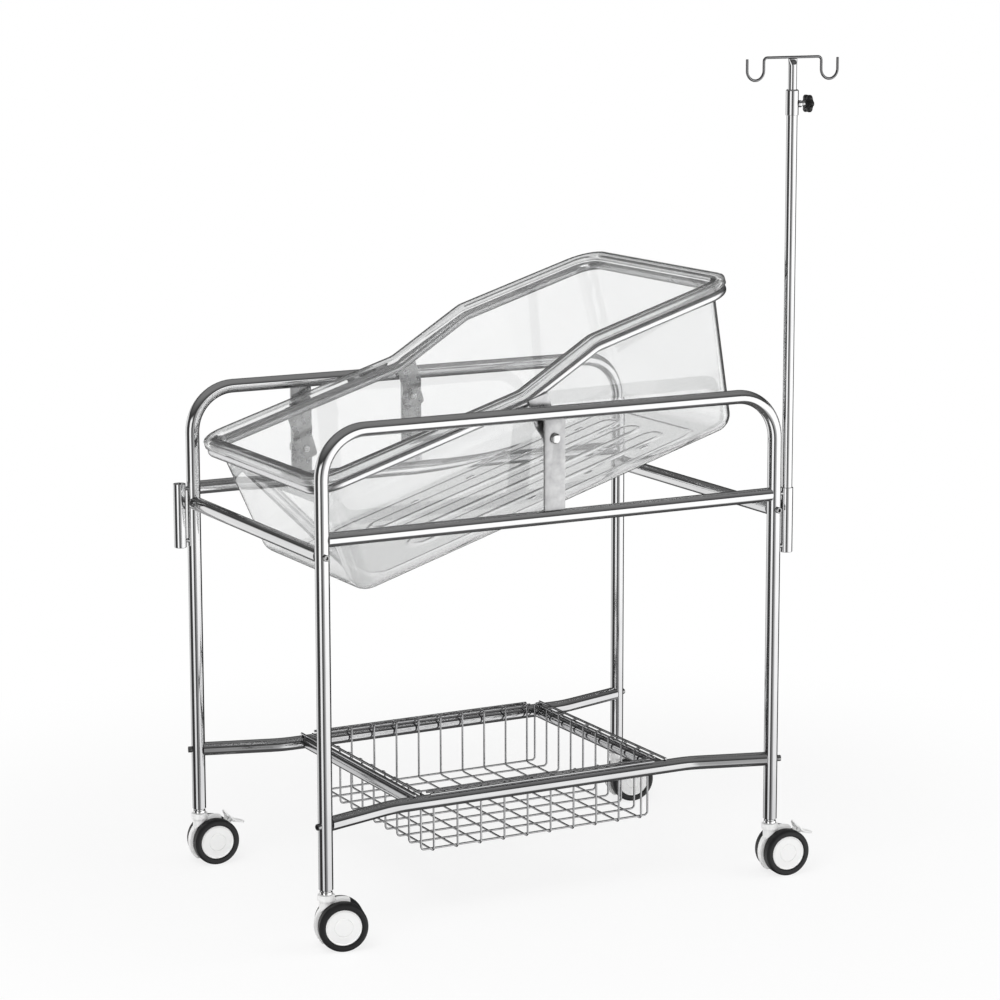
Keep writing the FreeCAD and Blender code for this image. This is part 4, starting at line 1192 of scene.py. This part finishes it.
bm = bmesh.new()
top = KNOB_NECK + KNOB_LENGTH
turned(bm, [(KNOB_BORE, 0), (8.0, 0), (8.0, KNOB_NECK), (KNOB_R, KNOB_NECK), (KNOB_R, top),
            (10.0, top), (9.4, top - KNOB_DISH), (0, top - KNOB_DISH), (0, top - 6.5),
            (KNOB_BORE, top - 6.5)],
       in_tub(LOCK_ALONG, KNOB_Y, LOCK_HEIGHT), (0, 1, 0), 120, {3: 2.5, 4: 2.5, 1: 0.5},
       hollow=True, reshape=by_radius(fluted))
make_piece(bm, "lock_knob", pale_plastic, "lock_knob")

# %% [markdown]
# ## Infusion pole
# Two blind sockets hang beside the legs on short stand-offs. One holds the pole:
# an outer tube, a collar with a clamp screw and a star knob, and a thinner mast.

# %% Sockets
POLE_X, SOCKET_LOW, SOCKET_HIGH = 416.5, 527.0, 631.0
SOCKET_R, SOCKET_BORE, SOCKET_FLOOR = 10.0, 8.6, 3.0
POST_R, POST_WAIST, POST_SUNK = 3.8, 3.0, 1.5
socket_length = SOCKET_HIGH - SOCKET_LOW
post = POLE_X - LEG_X - TUBE_R - SOCKET_R + 2 * POST_SUNK
for name, sign_x, sign_y in (("iv_socket", 1, -1), ("spare_iv_socket", -1, 1)):
    x, y = sign_x * POLE_X, sign_y * LEG_Y
    bm = bmesh.new()
    turned(bm, [(0, 0), (SOCKET_R, 0), (SOCKET_R, socket_length), (SOCKET_BORE, socket_length),
                (SOCKET_BORE, SOCKET_FLOOR), (0, SOCKET_FLOOR)],
           at(x, y, SOCKET_LOW), (0, 0, 1), 48, {1: 1.2, 2: 0.5, 3: 0.4})
    for z in (SOCKET_LOW + 10.4, SOCKET_HIGH - 9.0):
        turned(bm, [(0, 0), (POST_R, 0), (POST_R, 1.7), (POST_WAIST, 2.6),
                    (POST_WAIST, post - 2.6), (POST_R, post - 1.7), (POST_R, post), (0, post)],
               at(sign_x * (LEG_X + TUBE_R - POST_SUNK), y, z), (sign_x, 0, 0), 24)
    make_piece(bm, name, tube_steel, "trolley")

# %% Pole tubes and collar
OUTER_LOW, OUTER_HIGH, COLLAR_LOW, CLAMP_Z = 530.3, 1252.0, 1217.0, 1234.5
MAST_LOW, MAST_HIGH = 670.0, 1296.0
OUTER_R, OUTER_BORE, MAST_R, MAST_BORE = 8.5, 6.8, 6.75, 5.55
PRESS_START, PRESS_OVER, WIDER, FLATTER = 2.5, 11.0, 0.2, 0.45
UPWARD = (0, 0, 1)


def at_pole(z):
    """Place on the middle line of the infusion pole."""
    return at(POLE_X, -LEG_Y, z)


def pole_tube(bm, radius, bore, low, length, rounding):
    """Add a plain tube on the pole's middle line."""
    outline = [(bore, 0), (radius, 0), (radius, length), (bore, length)]
    turned(bm, outline, at_pole(low), UPWARD, 48, rounding, hollow=True)


def pressed_flat(vert):
    """Press the top of the mast flat and wide, where the hook rod crosses it."""
    share = soft_step(vert.co.z * 1000 - PRESS_START, PRESS_OVER)
    vert.co.x *= 1 + WIDER * share
    vert.co.y *= 1 - FLATTER * share


bm = bmesh.new()
pole_tube(bm, OUTER_R, OUTER_BORE, OUTER_LOW, OUTER_HIGH - OUTER_LOW, {1: 0.5})
make_piece(bm, "iv_outer_tube", tube_steel, "iv_pole")

bm = bmesh.new()
turned(bm, [(8.52, 0), (10, 0), (10, 40), (6.82, 40), (6.82, 35), (8.52, 35)],
       at_pole(COLLAR_LOW), UPWARD, 56, {1: 0.6, 2: 2.4}, hollow=True)
turned(bm, [(0, 8.6), (6.4, 8.6), (6.2, 10.2), (5.5, 11.2), (5.5, 16), (3.0, 16), (0, 16)],
       at_pole(CLAMP_Z), (1, 0, 0), 36, {4: 0.5})
make_piece(bm, "iv_collar", tube_steel, "iv_pole")

bm = bmesh.new()
pole_tube(bm, MAST_R, MAST_BORE, MAST_LOW, MAST_HIGH - MAST_LOW - 2, {1: 0.4})
turned(bm, [(0, -6), (5.5, -6), *((MAST_R, height) for height in (-2.2, 0, 2, 4, 6, 8.4)),
            (0, 9.4)], at_pole(MAST_HIGH), UPWARD, 48, {7: 0.8}, reshape=pressed_flat)
make_piece(bm, "iv_inner_tube", tube_steel, "iv_mast")

# %% [markdown]
# The clamp screw is turned with a zigzag outline, which reads as a thread at this
# size. The star knob is turned round, and its rim is pressed in between six lobes.

# %% Clamp screw and star knob
THREADS, THREAD_ROOT = 19, 2.45
bm = bmesh.new()
outline = [(0, 0), (2.2, 0)]
for index in range(THREADS):
    outline += [(2.9, index + 0.8), (THREAD_ROOT, index + 1.3)]
outline += [(THREAD_ROOT, THREADS + 2.2), (0, THREADS + 2.2)]
turned(bm, outline, at(POLE_X + 7.1, -LEG_Y, CLAMP_Z), (1, 0, 0), 24)
make_piece(bm, "iv_clamp_screw", bright_steel, "clamp_knob")

STAR_R, STAR_START, STAR_LENGTH, LOBES = 14.75, 22.5, 12.0, 6
LOBE_START, LOBE_FADE, LOBE_DEEP = 0.0085, 0.004, 0.0034


def star_lobes(radius, turn):
    """Press the rim of the star knob in between six round lobes."""
    dip = (0.5 - 0.5 * math.cos(turn * LOBES)) ** 1.6 * LOBE_DEEP
    return radius - dip * min(1.0, max(0.0, (radius - LOBE_START) / LOBE_FADE))


bm = bmesh.new()
turned(bm, [(2.95, 0), (6.4, 0), (6.8, 1.6), (10.5, 2.2), (STAR_R, 3.4), (STAR_R, 9.0),
            (8.5, STAR_LENGTH), (0, STAR_LENGTH), (0, 6), (2.95, 6)],
       at(POLE_X + STAR_START, -LEG_Y, CLAMP_Z), (1, 0, 0), 96, {4: 1.2, 5: 1.6, 1: 0.6},
       hollow=True, reshape=by_radius(star_lobes))
make_piece(bm, "iv_clamp_knob", black_plastic, "clamp_knob")

# %% Hook rod
HOOK_ROD, HOOK_BAR_Z, HOOK_LOW_Z, HOOK_TIP_Z = 4.2, 1306.6, 1272.0, 1305.0
HOOK_IN, HOOK_BEND, HOOK_CORNER = 52.8, 15.2, 6.0
HOOK_OUT = HOOK_IN + 2 * HOOK_BEND
foot_hook = [(-HOOK_OUT, HOOK_TIP_Z), (-HOOK_OUT, HOOK_LOW_Z), (-HOOK_IN, HOOK_LOW_Z),
             (-HOOK_IN, HOOK_BAR_Z)]
head_hook = [(-reach, z) for reach, z in reversed(foot_hook)]
one_tube("iv_hook_rod", [at(POLE_X + reach, -LEG_Y, z) for reach, z in foot_hook + head_hook],
         [HOOK_BEND, HOOK_BEND, HOOK_CORNER, HOOK_CORNER, HOOK_BEND, HOOK_BEND], HOOK_ROD,
         "iv_mast", 24, hook_steel, chamfer=0.7)

# %% [markdown]
# ## Basket
# Eight straight rods rest on the four lower rails, and wires hook over the inner
# four. Each wire is one length: it starts past its rod, arches over it, drops down
# the wall, crosses under the load and climbs the other wall. Both sets of wires
# use one helper.

# %% Basket rods
ROD, ROD_Z, ROD_OFFSET, WIRE, BASKET_DEPTH = 4.0, 204.3, 7.0, 3.3, 97.3
END_GAP, INNER_SHORT, OUTER_LONG = 17.0, 8.0, 4.0
bm = bmesh.new()
rod_ends = []
for sign in SIDES.values():
    for offset in (-ROD_OFFSET, ROD_OFFSET):
        y = sign * (LOW_Y + offset)
        rod_ends.append([at(FOOT_CROSS_X + END_GAP, y, ROD_Z),
                         at(HEAD_CROSS_X - END_GAP, y, ROD_Z)])
for cross_x, outward in ((FOOT_CROSS_X, -1), (HEAD_CROSS_X, 1)):
    for offset, reach in ((-ROD_OFFSET, LOW_Y - INNER_SHORT), (ROD_OFFSET, LOW_Y + OUTER_LONG)):
        x = cross_x + outward * offset
        rod_ends.append([at(x, -reach, ROD_Z), at(x, reach, ROD_Z)])
for two_ends in rod_ends:
    bent_tube(bm, two_ends, [], ROD, 20, chamfer=0.5)
make_piece(bm, "basket_rim", wire_steel_and_rail_shade, "basket")

# %% Basket wires
WALL_Y, WALL_FOOT_X, WALL_HEAD_X = 190.0, -205.0, 198.0
FLOOR_Z, CROWN_Z, TIP_Z = ROD_Z - BASKET_DEPTH, 208.4, 208.1
TOP_BEND, LOW_BEND_R, PAST = 4.6, 5.5, 3.6
OVER = (TIP_Z, CROWN_Z)
BESIDE = (ROD_Z + 0.6, ROD_Z + 1.0)
WIRES = 10
CROSS_PITCH, LONG_PITCH = 41.0, 2 * (WALL_Y - 44.6) / 7


def basket_wire(bm, first, last, floor_z):
    """One wire from rod to rod. Each end gives its rod, wall, tip height and crown."""
    first_rod, first_wall, first_tip, first_top = first
    last_rod, last_wall, last_tip, last_top = last
    line = [first_rod, first_wall, first_wall.copy(), last_wall, last_wall.copy(), last_rod]
    heights = (first_tip, first_top, floor_z, floor_z, last_top, last_tip)
    for point, z in zip(line, heights):
        point.z = z / 1000
    bent_tube(bm, line, [TOP_BEND, LOW_BEND_R, LOW_BEND_R, TOP_BEND], WIRE, 12, piece=15.0,
              chamfer=0.3)


across_wires, long_wires = bmesh.new(), bmesh.new()
for index in range(WIRES):
    x = WALL_FOOT_X + (index + 0.5) * CROSS_PITCH
    basket_wire(across_wires, (at(x, -LOW_Y + ROD_OFFSET, 0), at(x, -WALL_Y, 0), *BESIDE),
                (at(x, LOW_Y - ROD_OFFSET + PAST, 0), at(x, WALL_Y, 0), *OVER), FLOOR_Z)
    y = (index - (WIRES - 1) / 2) * LONG_PITCH
    basket_wire(long_wires,
                (at(FOOT_CROSS_X + ROD_OFFSET, y, 0), at(WALL_FOOT_X, y, 0), *BESIDE),
                (at(HEAD_CROSS_X - ROD_OFFSET + PAST, y, 0), at(WALL_HEAD_X, y, 0), *OVER),
                FLOOR_Z + WIRE)
make_piece(across_wires, "basket_cross_wires", wire_steel_and_rail_shade, "basket",
           ["basket_walls", "basket_floor"])
make_piece(long_wires, "basket_long_wires", wire_steel_and_rail_shade, "basket", ["basket_walls"])

# %% [markdown]
# ## Casters
# A caster swivels on a stem with a bright flange. Its white housing holds a web
# and mudguard between two wheels, and each wheel is a white disc in a black tyre.
# Everything is turned on a lathe in the caster's own axes and then set under its leg.

# %% Stems
TRAIL, AXLE_Z, TYRE_R, DISC_R, WHEEL_IN, WHEEL_WIDE = 22.5, 37.5, 37.5, 27.45, 6.5, 18.0
SWIVELS = {"near_foot": -15.0, "near_head": -6.0, "far_foot": -3.5, "far_head": -8.0}
caster_place = {}
for name, swivel in SWIVELS.items():
    side, end = name.split("_")
    leg = at(ENDS[end] * LEG_X, SIDES[side] * LEG_Y, 0)
    caster_place[name] = Matrix.Translation(leg) @ Matrix.Rotation(math.radians(swivel), 4, "Z")
bm = bmesh.new()
for place in caster_place.values():
    turned(bm, [(0, 66.3), (5, 66.3), (5, 84.3), (9.75, 84.3), (9.75, 89.2), (8.3, 89.6),
                (8.3, 91.3), (7, 91.3), (7, 116), (0, 116)], place.translation, UPWARD, 48,
           {3: 0.5, 4: 0.6, 8: 1.0})
make_piece(bm, "caster_stems", bright_steel, "trolley")

# %% Wheels
OUT_Y = WHEEL_IN + WHEEL_WIDE
TYRE_OUTLINE = [(DISC_R + 0.05, WHEEL_IN), (TYRE_R, WHEEL_IN), (TYRE_R, OUT_Y),
                (DISC_R + 1.6, OUT_Y), (DISC_R + 0.05, OUT_Y - 1.4)]
HUB_OUTLINE = [(0, WHEEL_IN + 0.5), (DISC_R, WHEEL_IN + 0.5), (DISC_R, OUT_Y - 1.6),
               (DISC_R - 1.1, OUT_Y - 1.0), (DISC_R - 2.4, OUT_Y - 2.4), (14.6, OUT_Y - 1.4),
               (13.9, OUT_Y - 2.3), (13.2, OUT_Y - 1.2), (0, OUT_Y - 0.6)]
for name, place in caster_place.items():
    axle = place @ Vector((TRAIL / 1000, 0, AXLE_Z / 1000))
    for label, sign in SIDES.items():
        outward = place.to_3x3() @ Vector((0, sign, 0))
        body = name + "_wheel_" + label
        bm = bmesh.new()
        turned(bm, TYRE_OUTLINE, axle, outward, 96, {1: 3.0, 2: 4.0, 3: 0.5}, hollow=True)
        make_piece(bm, name + "_tyre_" + label, tyre_rubber, body)
        bm = bmesh.new()
        turned(bm, HUB_OUTLINE, axle, outward, 96, {1: 1.0, 2: 0.3, 3: 0.4})
        make_piece(bm, name + "_hub_" + label, white_plastic, body)

# %% [markdown]
# Two casters have a brake pedal: two thin leaves on one pin, one to press down and
# one to release. A leaf is a rounded sheet piece that thins towards its tip.

# %% Pedals
PEDAL_X, PEDAL_Z, LEAF_WIDTH, LEAF_THICK, LEAF_START = 49.0, 68.0, 17.0, 3.6, 7.0
LEAVES = ((-7.5, 16.0), (27.0, -8.0))
LEAF_THINNER, LEAF_CURL = 0.4, 0.0006
CHEEKS_Y, CHEEK_THICK, CHEEK_R, PIN_R, PIN_HALF = (-5.0, 2.7), 2.3, 6.0, 2.0, 5.3


def leaf(bm, place, length):
    """Add a leaf that reaches from the pin's arms and thins towards its tip."""
    half = LEAF_WIDTH / 2
    tip_r = half - 0.3
    body = sheet_piece(bm, [(LEAF_START, -half, 1.5), (length, -half, tip_r),
                            (length, half, tip_r), (LEAF_START, half, 1.5)],
                       [], LEAF_THICK, Matrix.Identity(4), 1.0)
    for vert in body:
        share = max(0.0, vert.co.x * 1000 - LEAF_START) / (length - LEAF_START)
        middle = vert.co.y - LEAF_THICK / 2000
        vert.co.y = middle * (1 - LEAF_THINNER * share) + LEAF_CURL * share * share
    bmesh.ops.transform(bm, matrix=place @ Matrix.Rotation(math.pi / 2, 4, "X"), verts=body)


for name in ("far_foot", "near_head"):
    bm = bmesh.new()
    pin = caster_place[name] @ Matrix.Translation((PEDAL_X / 1000, 0, PEDAL_Z / 1000))
    sideways = caster_place[name].to_3x3() @ Vector((0, 1, 0))
    leans = [pin @ Matrix.Rotation(math.atan2(-high, out), 4, "Y") for out, high in LEAVES]
    for lean, (out, high) in zip(leans, LEAVES):
        leaf(bm, lean, math.hypot(out, high))
    for low in CHEEKS_Y:
        turned(bm, [(0, low), (CHEEK_R, low), (CHEEK_R, low + CHEEK_THICK),
                    (0, low + CHEEK_THICK)], pin.translation, sideways, 36, {1: 0.6, 2: 0.6})
    for lean in leans:
        for low in CHEEKS_Y:
            arm = sheet_piece(bm, [(0, -3.0, 0), (11.5, -2.2, 0.5), (11.5, 2.2, 0.5),
                                   (0, 3.0, 0)],
                              [], CHEEK_THICK, Matrix.Translation((0, low / 1000, 0)), 0.3)
            bmesh.ops.transform(bm, matrix=lean, verts=arm)
    turned(bm, [(0, -PIN_HALF), (PIN_R, -PIN_HALF), (PIN_R, PIN_HALF), (0, PIN_HALF)],
           pin.translation, sideways, 24, {1: 0.4, 2: 0.4})
    make_piece(bm, name + "_pedal_look", white_plastic, name + "_pedal",
               [name + "_brake_pedal"])
print(len(made_pieces), "pieces so far")

# %% [markdown]
# ## Finish for the solids that stay
# The remaining solids have the right shape already and only get a finish.

# %% Finishes on solids
for name, node in nodes.items():
    node.data.materials.clear()
    node.data.materials.append(white_plastic if "housing" in name else bright_steel)

# %% The end
print("pieces made:", len(made_pieces))
